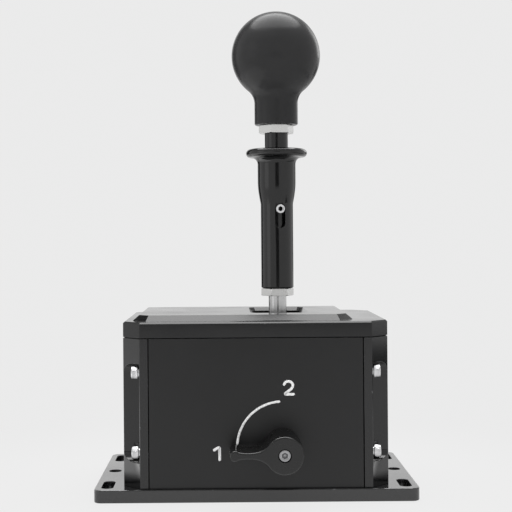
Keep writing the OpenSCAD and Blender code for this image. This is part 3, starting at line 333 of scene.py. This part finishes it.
# Screws under the base plate: plain zinc socket screws that come up from below. They hold the tie
# through each side plate, the panels and the brackets, and sit sunk in their counterbores.
zinc = finish("dull_zinc", (0.24, 0.24, 0.25), (0.40, 0.40, 0.41), 0.38, metal=1.0, size=2600.0,
              depth=0.00001)
dress(zinc, "tie_screws", "panel_screws", "bracket_screws")

# Side plates: milled black anodised blocks with a 45 degree cut down each upright corner and a
# notched pocket in which the side screws sit. The coat fades out towards the foot of each cut, a painted shade by the
# base plate.
black_side = finish("black_side", (0.003, 0.003, 0.0032), (0.006, 0.006, 0.0065), 0.17, bare=bare_metal,
                    rubbed=0.10, size=5200.0, depth=0.000002, coat=1.0, coat_rough=0.17, level=0.14)
# Painted shade: below fade_z the coat on the 45 degree cuts fades to none at foot_z, so the cuts go dark just above
# the base plate.
cut_x, foot_z, fade_z = 0.0668, 0.0115, 0.0170
tree = black_side.node_tree
place = put(tree, "ShaderNodeSeparateXYZ", Vector=put(tree, "ShaderNodeTexCoord").outputs["Object"])
outward = put(tree, "ShaderNodeMath", {"operation": "ABSOLUTE"}, in0=place.outputs["X"])
on_cut = put(tree, "ShaderNodeMath", {"operation": "GREATER_THAN"}, in0=outward.outputs["Value"], in1=cut_x)
low_down = put(tree, "ShaderNodeMapRange", {"interpolation_type": "SMOOTHSTEP"}, Value=place.outputs["Z"],
               From_Min=foot_z, From_Max=fade_z, To_Min=1.0, To_Max=0.0)
painted_foot_shade = put(tree, "ShaderNodeMath", {"operation": "MULTIPLY"}, in0=on_cut.outputs["Value"],
               in1=low_down.outputs["Result"])
gloss = put(tree, "ShaderNodeMath", {"operation": "SUBTRACT"}, in0=1.0, in1=painted_foot_shade.outputs["Value"])
tree.links.new(gloss.outputs["Value"], tree.nodes["Principled BSDF"].inputs["Coat Weight"])
pocket_x, pocket_low, pocket_high, near = 0.067, 0.026, 0.0955, 0.0001


def at_floor(m):
    """True for the upright edges along the floor of a corner pocket, which stay sharp."""
    return abs(abs(m.x) - pocket_x) < near and pocket_low < m.z < pocket_high


for side in ("left", "right"):
    name = side + "_side_plate"
    plate = show(eased_copy(name, (0.0002, 2, lambda m: not at_floor(m))), name + "_eased", black_side, "housing",
                 "black_plate", name)
    for edge in plate.data.edges:
        start, end = (plate.data.vertices[i].co for i in edge.vertices)
        edge.use_edge_sharp = at_floor((start + end) / 2)

# Front and rear panels: black anodised plate, blasted finer and even, let in between the side plates
# with a narrow groove. The front one carries the selector, the rear one the data socket.
black_panel = finish("black_panel", (0.0035, 0.0035, 0.0037), (0.0070, 0.0070, 0.0074), 0.36, bare=bare_metal,
                     rubbed=0.06, size=6500.0, depth=0.000004)
for name in ("front_panel", "rear_panel"):
    show(eased_copy(name, (0.00025, 2)), name + "_eased", black_panel, "housing", "black_panel", name)


# Printed marks: a quarter arc about the selector's shaft and a number at each of its ends, screen
# printed in white ink on the front panel, a few hundredths of a millimetre proud.
def rounded(points, radii, steps=6):
    """Open outline with its inner corners rounded: two tangent points lie r over tan(half the corner) back along the
    sides, and the arc between them is the sine-weighted blend of the two, in equal angles."""
    points = np.asarray(points, float)
    radii = np.broadcast_to(radii, len(points) - 2)
    sweep = np.linspace(0, 1, steps + 1)[:, None]
    pieces = [points[:1]]
    for before, corner, after, r in zip(points, points[1:], points[2:], radii):
        u, v = before - corner, after - corner
        u, v = u / np.hypot(*u), v / np.hypot(*v)
        half = np.arccos(np.clip(u @ v, -1, 1)) / 2
        middle = corner + (u + v) / np.hypot(*(u + v)) * r / np.sin(half)
        start, end = corner + u * r / np.tan(half) - middle, corner + v * r / np.tan(half) - middle
        turn = math.pi - 2 * half
        pieces.append(middle + (start * np.sin((1 - sweep) * turn) + end * np.sin(sweep * turn)) / np.sin(turn))
    return np.concatenate(pieces + [points[-1:]])


def stroke(path, width):
    """Outline of an inked line in X and Z: two edges half a width to each side of the path, with round ends.
    The normal at a point is across the mean direction of its two neighbours."""
    path = np.asarray(path, float)
    along = np.gradient(path, axis=0)
    along /= np.hypot(*along.T)[:, None]
    across = np.stack([along[:, 1], -along[:, 0]], 1)
    bow = np.linspace(0, math.pi, 10)[1:-1, None]
    start = path[0] + width / 2 * (-across[0] * np.cos(bow) - along[0] * np.sin(bow))
    end = path[-1] + width / 2 * (across[-1] * np.cos(bow) + along[-1] * np.sin(bow))
    return np.concatenate([path + across * width / 2, end, (path - across * width / 2)[::-1], start])


def inked(outlines, face_y, lift, name):
    """Joins outlines into one mesh, a thin shell that faces -Y: each is filled with triangles and walled down to
    just inside the panel."""
    points, faces, sunk = [], [], 0.00001
    for loop in outlines:
        base, count = len(points), len(loop)
        sides = [(i, (i + 1) % count) for i in range(count)]
        filled = delaunay_2d_cdt([tuple(p) for p in loop], sides, [], 1, 1e-9)
        flat = np.array([tuple(p) for p in filled[0]])
        order = np.linalg.norm(flat[:, None] - loop[None], axis=2).argmin(0)
        n = len(flat)
        points += [(x, face_y - lift, z) for x, z in flat] + [(x, face_y + sunk, z) for x, z in flat]
        faces += [tuple(base + i for i in f) for f in filled[2]]
        faces += [tuple(base + n + i for i in f[::-1]) for f in filled[2]]
        faces += [(base + a, base + b, base + n + b, base + n + a) for a, b in zip(order, np.roll(order, -1))]
    mesh = bpy.data.meshes.new(name)
    mesh.from_pydata(points, [], faces)
    shape = bmesh.new()
    shape.from_mesh(mesh)
    bmesh.ops.recalc_face_normals(shape, faces=shape.faces)
    shape.to_mesh(mesh)
    shape.free()
    return mesh


panel_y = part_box("front_panel")[0].y
shaft = np.array([lever_x, 0.0312])
ink_lift, arc_w, figure_w = 0.00004, 0.0013, 0.0015
arc_r, cap = 0.026, 0.0084
arc_turn = np.radians(np.linspace(94, 175.4, 60))
arc_path = shaft + arc_r * np.stack([np.cos(arc_turn), np.sin(arc_turn)], 1)
# The two figures are drawn in heights of a capital, and each is moved to its end of the arc
one_path = rounded([[-0.35, 0.72], [0.02, 0.94], [0.02, 0.06]], 0.06) * cap + [-0.0213, 0.0236]
bow = np.radians(np.linspace(165, -42, 40))
two_bow = np.stack([0.30 * np.cos(bow), 0.66 + 0.28 * np.sin(bow)], 1)
two_path = np.concatenate([two_bow, rounded([two_bow[-1] + [-0.05, -0.06], [-0.30, 0.06], [0.34, 0.06]], 0.04)])
two_path = two_path * cap + [0.0186, 0.0608]
white_ink = finish("white_ink", (0.78, 0.78, 0.78), (0.88, 0.88, 0.88), 0.5, size=3000.0, depth=0.000006)
outlines = [stroke(arc_path, arc_w), stroke(one_path, figure_w), stroke(two_path, figure_w)]
show(inked(outlines, panel_y, ink_lift, "printed_marks"), "printed_marks", white_ink, "housing", "black_panel")

# Gasket: a thin black rubber sheet between box and cover, set in a little from the outline. It is a dark sheet
# put in the shadow gap, a painted shade that shows, with the gap's own shade, as a dark line all round. The stop's
# buffer is of the same rubber.
rubber = finish("black_rubber", (0.0015, 0.0015, 0.0015), (0.004, 0.004, 0.004), 0.75, size=2500.0, depth=0.00002,
                level=0.15)
dress(rubber, "cover_gasket", "stop_buffer")

# Top cover: milled from thick black plate, with a chamfer round its rim, a raised middle with sloping
# sides and a cut-cornered opening round the lever. It is polished finer than the rest, so it mirrors the room.
black_cover = finish("black_cover", (0.003, 0.003, 0.0032), (0.006, 0.006, 0.0065), 0.14, bare=bare_metal,
                     rubbed=0.08, size=7000.0, depth=0.000001, spread=0.04)
show(eased_copy("top_cover", (0.00018, 2)), "top_cover_eased", black_cover, "housing", "black_cover", "top_cover")


# Side screws: bright zinc-plated M4 socket screws with knurled heads, on small plain washers, in the
# corner pockets. They run through the side plates into the panels.
def screw_rows(head_r, head_l, socket, shank_r, length, ridges=0, steps=192, deep=0.5):
    """Socket screw about Z with its seat at z = 0: rows of radius over the angle, from the tip of the shank to the
    floor of the socket. Ridge rows take off a cosine of the angle, socket rows follow half the socket width over
    the cosine of the angle to the nearest flat."""
    tip, chamfer, hair = 0.0003, 0.0002, 0.00001
    knurl_deep, knurl_low, knurl_run = 0.00007, 0.0006, 0.0001
    mouth_wide, mouth_deep, cone = 0.00022, 0.00015, 0.0004
    a = np.arange(steps) * 2 * math.pi / steps
    plain = np.ones(steps)
    knurl = head_r - knurl_deep * (1 - np.cos(ridges * a)) * (ridges > 0)
    hexed = socket / 2 / np.cos((a + math.pi / 6) % (math.pi / 3) - math.pi / 6)
    rim = rounded([[head_r, head_l / 2], [head_r, head_l], [socket / 2, head_l]], head_r * 0.12, 5)[1:-1]
    rows = [(0 * plain, -length), ((shank_r - tip) * plain, -length), (shank_r * plain, tip - length),
            (shank_r * plain, -hair), (shank_r * plain, 0), ((head_r - chamfer) * plain, 0),
            (head_r * plain, chamfer), (head_r * plain, knurl_low - knurl_run), (knurl, knurl_low),
            (knurl, rim[0, 1] - 2 * knurl_run), (head_r * plain, rim[0, 1] - knurl_run / 2)]
    rows += [(r * plain, z) for r, z in rim]
    rows += [(hexed + mouth_wide, head_l), (hexed, head_l - mouth_deep), (hexed, head_l * (1 - deep)),
             (0 * plain, head_l * (1 - deep) - cone)]
    radius = np.array([r for r, z in rows])
    return np.stack([radius * np.cos(a), radius * np.sin(a), np.array([z for r, z in rows])[:, None] + 0 * a], 2)


def aimed(grid, seat, way, up=(0, 0, 1)):
    """Turns a grid about Z so that Z points along the way, and moves it to its seat."""
    way, up = np.array(way, float), np.array(up, float)
    way /= np.linalg.norm(way)
    across = np.cross(up, way)
    across /= np.linalg.norm(across)
    return grid @ np.stack([across, np.cross(way, across), way]) + np.array(seat)


def skinned(grids, name, ring=False, dull=(0, 0)):
    """Mesh over grids of rows by steps: each quad joins two neighbours on a row to the two above them. Rows close
    on themselves round the axis, and the last row joins the first where the profile is a ring. Poles are merged, and
    the faces between the first and between the last rows, as many as dull says, get 1 in the attribute dull."""
    points = np.concatenate([g.reshape(-1, 3) for g in grids])
    faces, base, inside = [], 0, []
    for g in grids:
        rows, steps = g.shape[:2]
        i = np.arange(rows if ring else rows - 1)[:, None]
        j = np.arange(steps)
        up, on = (i + 1) % rows, (j + 1) % steps
        quads = np.stack([i * steps + j, i * steps + on, up * steps + on, up * steps + j], 2)
        faces.append(base + quads.reshape(-1, 4))
        inside.append(np.repeat((i < dull[0]) | (i >= len(i) - dull[1]), steps))
        base += rows * steps
    mesh = bpy.data.meshes.new(name)
    mesh.from_pydata(points.tolist(), [], np.concatenate(faces).tolist())
    mesh.attributes.new("dull", "FLOAT", "FACE").data.foreach_set("value", np.concatenate(inside).astype(np.float32))
    shape = bmesh.new()
    shape.from_mesh(mesh)
    bmesh.ops.remove_doubles(shape, verts=shape.verts, dist=1e-7)
    bmesh.ops.recalc_face_normals(shape, faces=shape.faces)
    shape.to_mesh(mesh)
    shape.free()
    return mesh


def turned(profile, steps=96):
    """Grid of a turned shape: the point (r, z) of the profile goes to (r cos a, r sin a, z) at every angle a."""
    a = np.arange(steps) * 2 * math.pi / steps
    r, z = np.asarray(profile).T
    return np.stack([r[:, None] * np.cos(a), r[:, None] * np.sin(a), z[:, None] + 0 * a], 2)


screw_box, washer_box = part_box("side_screws"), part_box("side_washers")
m4_head = 0.00375
washer_t = 0.0008
seat_x, face_x = washer_box[1].x - washer_t, washer_box[1].x
screw_y = screw_box[1].y - m4_head
screw_z = (screw_box[0].z + m4_head, screw_box[1].z - m4_head)
places = [(side, y, z) for side in (-1, 1) for y in (-screw_y, screw_y) for z in screw_z]
bright = finish("bright_zinc", (0.62, 0.62, 0.63), (0.80, 0.80, 0.81), 0.26, metal=1.0, size=3200.0, depth=0.000008,
                darkens_marked=True)
heads = screw_rows(m4_head, head_l=0.004, socket=0.003, shank_r=0.002, length=0.0170, ridges=48)
# The sockets' floors, marked dull, go near black as painted shade; the shanks go near black too.
show(skinned([aimed(heads, (s * face_x, y, z), (s, 0, 0)) for s, y, z in places], "side_screws_turned",
             dull=(4, 2)),
     "side_screws_turned", bright, "housing", "bright_screws", "side_screws")
washer_r, hole_r, washer_edge = 0.003, 0.00202, 0.00012
middle_r = (washer_r + hole_r) / 2
washer = rounded([[middle_r, 0], [washer_r, 0], [washer_r, washer_t], [hole_r, washer_t], [hole_r, 0],
                  [middle_r, 0]], washer_edge, 3)[:-1]
show(skinned([aimed(turned(washer, 64), (s * seat_x, y, z), (s, 0, 0)) for s, y, z in places], "side_washers_turned",
             ring=True), "side_washers_turned", bright, "housing", "bright_screws", "side_washers")

# Stop frame: a milled aluminium frame screwed up under the cover. Its rubber buffer ends the swing of
# the lever, and its top shows through the opening. The posts, guides and stands in the box match it.
aluminium = finish("milled_aluminium", (0.30, 0.305, 0.31), (0.42, 0.425, 0.43), 0.36, metal=1.0, size=1800.0,
                   depth=0.00001, pitch=1500.0)
dress(aluminium, "stop_frame", "centring_posts", "lock_guide", "reverse_stop", "sensor_stand")
dress(zinc, "stop_screws")

# Bearings and centring in the housing: ground steel rings, barrels and plungers with springs of bright
# wire. The selector's bush and the boards' standoffs are bronze, and the data socket has a steel shell.
ground_steel = finish("ground_steel", (0.42, 0.42, 0.43), (0.58, 0.58, 0.59), 0.24, metal=1.0, size=2600.0,
                      depth=0.000006, pitch=4000.0)
bronze = finish("turned_bronze", (0.40, 0.25, 0.10), (0.56, 0.38, 0.17), 0.32, metal=1.0, size=2200.0,
                depth=0.000008, pitch=3500.0)
dress(ground_steel, "trunnion_bearings", "centring_barrels", "left_plunger", "right_plunger", "data_socket")
dress(bronze, "selector_bush", "board_standoffs")
spring_wire = finish("spring_wire", (0.36, 0.36, 0.37), (0.50, 0.50, 0.52), 0.30, metal=1.0, size=5000.0,
                     depth=0.000006)
dress(spring_wire, "centring_springs")

# Circuit boards: green solder mask over copper tracks, with black chips on top. The tracks are a fine
# net of lighter lines in the mask.
board_finish = finish("green_board", (0.010, 0.085, 0.030), (0.018, 0.125, 0.045), 0.34, size=2500.0, depth=0.000006)
tree = board_finish.node_tree
place = put(tree, "ShaderNodeTexCoord").outputs["Object"]
tracks = put(tree, "ShaderNodeTexBrick", Vector=place, Scale=420.0, Color1=(0, 0, 0, 1), Color2=(0, 0, 0, 1),
             Mortar=(1, 1, 1, 1), Mortar_Size=0.06)
mask_in = tree.nodes["Principled BSDF"].inputs["Base Color"]
tracked = put(tree, "ShaderNodeMix", {"data_type": "RGBA"}, in0=tracks.outputs["Color"],
              in6=mask_in.links[0].from_socket, in7=(0.03, 0.20, 0.07, 1)).outputs[2]
tall_chip, flat_chip, clear, band = 0.0014, 0.001, 0.00005, 0.004
main_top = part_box("circuit_board")[1].z - tall_chip + clear
sensor_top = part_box("sensor_board")[1].z - flat_chip + clear
height = put(tree, "ShaderNodeSeparateXYZ", Vector=place).outputs["Z"]
on_sensor = put(tree, "ShaderNodeMath", {"operation": "GREATER_THAN"}, in0=height, in1=sensor_top)
over_main = put(tree, "ShaderNodeMath", {"operation": "GREATER_THAN"}, in0=height, in1=main_top)
under_band = put(tree, "ShaderNodeMath", {"operation": "LESS_THAN"}, in0=height, in1=main_top + band)
on_main = put(tree, "ShaderNodeMath", {"operation": "MULTIPLY"}, in0=over_main.outputs["Value"],
              in1=under_band.outputs["Value"])
chips = put(tree, "ShaderNodeMath", {"operation": "MAXIMUM"}, in0=on_sensor.outputs["Value"],
            in1=on_main.outputs["Value"])
final = put(tree, "ShaderNodeMix", {"data_type": "RGBA"}, in0=chips.outputs["Value"], in6=tracked,
            in7=(0.012, 0.012, 0.013, 1)).outputs[2]
tree.links.new(final, mask_in)
dress(board_finish, "sensor_board", "circuit_board")

# Cradle: aluminium cheeks and ends screwed into a frame that rocks on its trunnions, with the bronze
# pivot bushes and the sprung plungers that push the lever back to the middle.
dress(aluminium, "cradle_cheeks", "cradle_ends", "lever_block")
dress(zinc, "cradle_screws", "rod_set_screw")
dress(ground_steel, "trunnions", "shift_barrels", "front_plunger", "rear_plunger", "pivot_pins", "lever_magnet")
dress(bronze, "pivot_bushes")
dress(spring_wire, "shift_springs")

# Selector shaft: ground steel, held in its bush by an aluminium clamp ring. Its eccentric end carries the
# lock pin under the cradle.
dress(ground_steel, "selector_shaft", "lock_pin")
dress(aluminium, "shaft_collar")

# Lockout: a rod inside the lever, which the collar draws up by its cross pin against a coil spring. The
# spring's top end rests on the plug. In use the spring shortens by the collar's lift, but here it keeps its CAD
# shape.
dress(ground_steel, "lockout_rod", "cross_pin")
dress(zinc, "spring_plug")
spring = show(eased_copy("lockout_spring"), "lockout_spring_wire", spring_wire, "lever", "spring_steel",
              "lockout_spring")
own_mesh(spring)

# Lever rod: turned and polished steel, screwed into the block at its foot and into the knob's insert
# at its head. It shows bare between the cover and the lower nut.
polished = finish("polished_rod", (0.50, 0.50, 0.50), (0.62, 0.62, 0.62), 0.22, metal=1.0, size=2600.0,
                  depth=0.000008, pitch=5000.0)
dress(polished, "lever_rod")

# Hex nuts: nickel-plated M12 jam nuts. The lower one carries the guide tube, the upper one locks it
# under the knob.
nickel = finish("nickel_plate", (0.60, 0.60, 0.59), (0.76, 0.76, 0.75), 0.30, metal=1.0, bare=(0.9, 0.9, 0.9),
                rubbed=0.25, size=2400.0, depth=0.00001)
for name in ("lower_nut", "upper_nut"):
    show(eased_copy(name, (0.00012, 2)), name + "_eased", nickel, "lever", "nickel_nuts", name)

# Guide tube: black anodised tube over the rod, on which the collar slides.
black_tube = finish("black_tube", (0.003, 0.003, 0.003), (0.006, 0.006, 0.006), 0.16, size=5000.0,
                    depth=0.0000015, pitch=3500.0)
dress(black_tube, "guide_tube")

# Lift collar: turned from bar and anodised black, with a finger flange at the top, a slow taper into
# the grip and a slot in front that runs over the guide screw.
foot, top = (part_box("lift_collar")[i].z for i in (0, 1))
low_r, grip_r, bore_r, flange_r = 0.010, 0.01175, 0.00725, 0.0189
edge_r, cove_r, dome = 0.0025, 0.0043, 0.0005
edge_z = top - dome - edge_r
wave = np.linspace(0, 1, 25)
taper_z, taper_l = foot + 0.0518, 0.014
taper = np.stack([low_r + (grip_r - low_r) * np.sin(wave * math.pi / 2), taper_z + taper_l * wave], 1)
quarter = np.radians(np.linspace(180, 90, 13))
cove = np.stack([grip_r + cove_r + cove_r * np.cos(quarter), edge_z - edge_r - cove_r + cove_r * np.sin(quarter)], 1)
half_turn = np.radians(np.linspace(-90, 90, 25))
lip = np.stack([flange_r - edge_r + edge_r * np.cos(half_turn), edge_z + edge_r * np.sin(half_turn)], 1)
foot_edge = rounded([[bore_r, foot], [low_r, foot], [low_r, foot + 0.02]], 0.0007, 6)[1:-1]
foot_ease, top_ease, mid_z, flat_r = 0.0002, 0.0003, foot + 0.026, 0.009
bore_line = [[flat_r, top], [bore_r + top_ease, top], [bore_r, top - top_ease], [bore_r, foot + foot_ease]]
collar_line = np.concatenate([[[bore_r + foot_ease, foot]], foot_edge, [[low_r, mid_z]], taper, cove, lip, bore_line])
collar_mesh = skinned([turned(collar_line, 128) + [lever_x, 0, 0]], "lift_collar_turned", ring=True)
slot_w, slot_travel, slot_high, slot_right_deg = 0.00605, 0.0088, taper_z, 10.7
slot_low = slot_high - slot_travel - slot_w
slot_turn = math.radians(slot_right_deg - 90)
out_way = np.array([math.cos(slot_turn), math.sin(slot_turn), 0])
side_way = np.array([-out_way[1], out_way[0], 0])
round_end = np.radians(np.linspace(0, 180, 25))
upper = np.stack([slot_w / 2 * np.cos(round_end), slot_high - slot_w / 2 + slot_w / 2 * np.sin(round_end)], 1)
lower = np.stack([-slot_w / 2 * np.cos(round_end), slot_low + slot_w / 2 - slot_w / 2 * np.sin(round_end)], 1)
slot_loop = np.concatenate([upper, lower])
depths = np.array([0.004, 0.016])
cutter = (np.array([lever_x, 0, 0]) + depths[:, None, None] * out_way + slot_loop[None, :, :1] * side_way
          + slot_loop[None, :, 1:] * np.array([0, 0, 1]))
cut_mesh = skinned([cutter], "slot_cut")
shape = bmesh.new()
shape.from_mesh(cut_mesh)
bmesh.ops.holes_fill(shape, edges=shape.edges)
bmesh.ops.recalc_face_normals(shape, faces=shape.faces)
shape.to_mesh(cut_mesh)
shape.free()
cut_tool = bpy.data.objects.new("slot_cut", cut_mesh)
collar_form = bpy.data.objects.new("collar_form", collar_mesh)
scene.collection.objects.link(cut_tool)
scene.collection.objects.link(collar_form)
cut = collar_form.modifiers.new("slot", "BOOLEAN")
cut.object, cut.operation, cut.solver = cut_tool, "DIFFERENCE", "EXACT"
slotted = bpy.data.meshes.new_from_object(collar_form.evaluated_get(bpy.context.evaluated_depsgraph_get()))
bpy.data.objects.remove(cut_tool)
bpy.data.objects.remove(collar_form)
shape = bmesh.new()
shape.from_mesh(slotted)
bmesh.ops.remove_doubles(shape, verts=shape.verts, dist=1e-7)
outside_y, past = -0.0075, 0.001
ease(shape, 0.0003, 3, sharpest=50, chosen=lambda m: m.y < outside_y and slot_low - past < m.z < slot_high + past)
shape.to_mesh(slotted)
shape.free()
black_collar = finish("black_collar", (0.003, 0.003, 0.003), (0.006, 0.006, 0.0063), 0.14, bare=bare_metal,
                      rubbed=0.12, size=5000.0, depth=0.000001, pitch=3000.0, spread=0.04)
show(slotted, "lift_collar_turned", black_collar, "collar", "black_collar", "lift_collar")

# Guide screw: a bright M3 socket screw in the tube. Its head runs in the collar's slot and stops the
# collar from turning.
guide_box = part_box("guide_screw")
guide_z = (guide_box[0].z + guide_box[1].z) / 2
m3_head, tube_r = 0.00275, 0.0072
guide = screw_rows(m3_head, head_l=0.0029, socket=0.0025, shank_r=0.0015, length=0.004, steps=72, deep=0.6)
# The socket's floor, marked dull, goes near black as painted shade; so does the shank.
show(skinned([aimed(guide, np.array([lever_x, 0, guide_z]) + tube_r * out_way, out_way)], "guide_screw_turned",
             dull=(4, 2)), "guide_screw_turned", bright, "lever", "bright_screws", "guide_screw")

# Knob: a ball and neck moulded in one piece of soft-touch black plastic over the threaded bronze insert.
dress(bronze, "knob_insert")
knob_low, knob_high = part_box("gear_knob")
ball_r, neck_r, fillet_r, foot_r = (knob_high.x - knob_low.x) / 2, 0.0134, 0.0105, 0.001
rise = knob_high.z - ball_r - knob_low.z
fillet_z = rise - math.sqrt((ball_r + fillet_r) ** 2 - (neck_r + fillet_r) ** 2)
meet = math.atan2(rise - fillet_z, -(neck_r + fillet_r))
sweep = np.linspace(math.pi, meet, 21)
fillet_line = np.stack([neck_r + fillet_r + fillet_r * np.cos(sweep), fillet_z + fillet_r * np.sin(sweep)], 1)
sweep = np.linspace(meet - math.pi, math.pi / 2, 61)[1:]
ball_line = np.stack([np.maximum(ball_r * np.cos(sweep), 0), rise + ball_r * np.sin(sweep)], 1)
insert_r, insert_l, insert_ease, neck_l = 0.008, 0.020, 0.0003, 0.006
neck_line = rounded([[insert_r, 0], [neck_r, 0], [neck_r, neck_l]], foot_r, 6)[1:-1]
insert_line = [[0.0, insert_l], [insert_r, insert_l], [insert_r, insert_ease], [insert_r + insert_ease, 0]]
knob_line = np.concatenate([insert_line, neck_line, fillet_line, ball_line])
soft_black = finish("soft_black_plastic", (0.024, 0.024, 0.0245), (0.033, 0.033, 0.0337), 0.22, size=3600.0,
                    patch=45.0, depth=0.000002, level=0.10, spread=0.04)
show(skinned([turned(knob_line, 128) + [lever_x, 0, knob_low.z]], "gear_knob_turned"), "gear_knob_turned", soft_black,
     "lever", "black_knob", "gear_knob")

# Mode selector: a moulded black lever with a round hub, clamped to its shaft by the screw in the
# middle. Its front edges are generously rounded.
selector_black = finish("selector_black", (0.001, 0.001, 0.001), (0.0025, 0.0025, 0.0026), 0.27, size=3000.0,
                        patch=60.0, depth=0.000002, level=0.62)
front_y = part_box("mode_lever")[0].y
face_y, sink_r = front_y + 0.0002, 0.005


def at_face(m):
    """True for the edges of the front face but those of the hub's counterbore, within its radius of the shaft."""
    return m.y < face_y and math.hypot(m.x - shaft[0], m.z - shaft[1]) > sink_r


show(eased_copy("mode_lever", (0.0011, 5, at_face), (0.0002, 2)), "mode_lever_eased", selector_black, "selector",
     "black_selector", "mode_lever")

# Hub screw: a steel socket screw, sunk in the hub, that clamps the selector to its shaft.
hub_head_r, hub_head_l, hub_sink = 0.0033, 0.0039, 0.0004
hub = screw_rows(hub_head_r, hub_head_l, socket=0.003, shank_r=0.002, length=0.0125, steps=96)
satin_steel = finish("satin_steel", (0.30, 0.30, 0.305), (0.44, 0.44, 0.45), 0.34, metal=1.0, size=2400.0,
                     depth=0.00001, darkens_marked=True)
# The shank, marked dull, goes near black.
show(skinned([aimed(hub, (shaft[0], front_y + hub_sink + hub_head_l, shaft[1]), (0, -1, 0))], "hub_screw_turned",
             dull=(4, 0)), "hub_screw_turned", satin_steel, "selector", "bright_screws", "hub_screw")
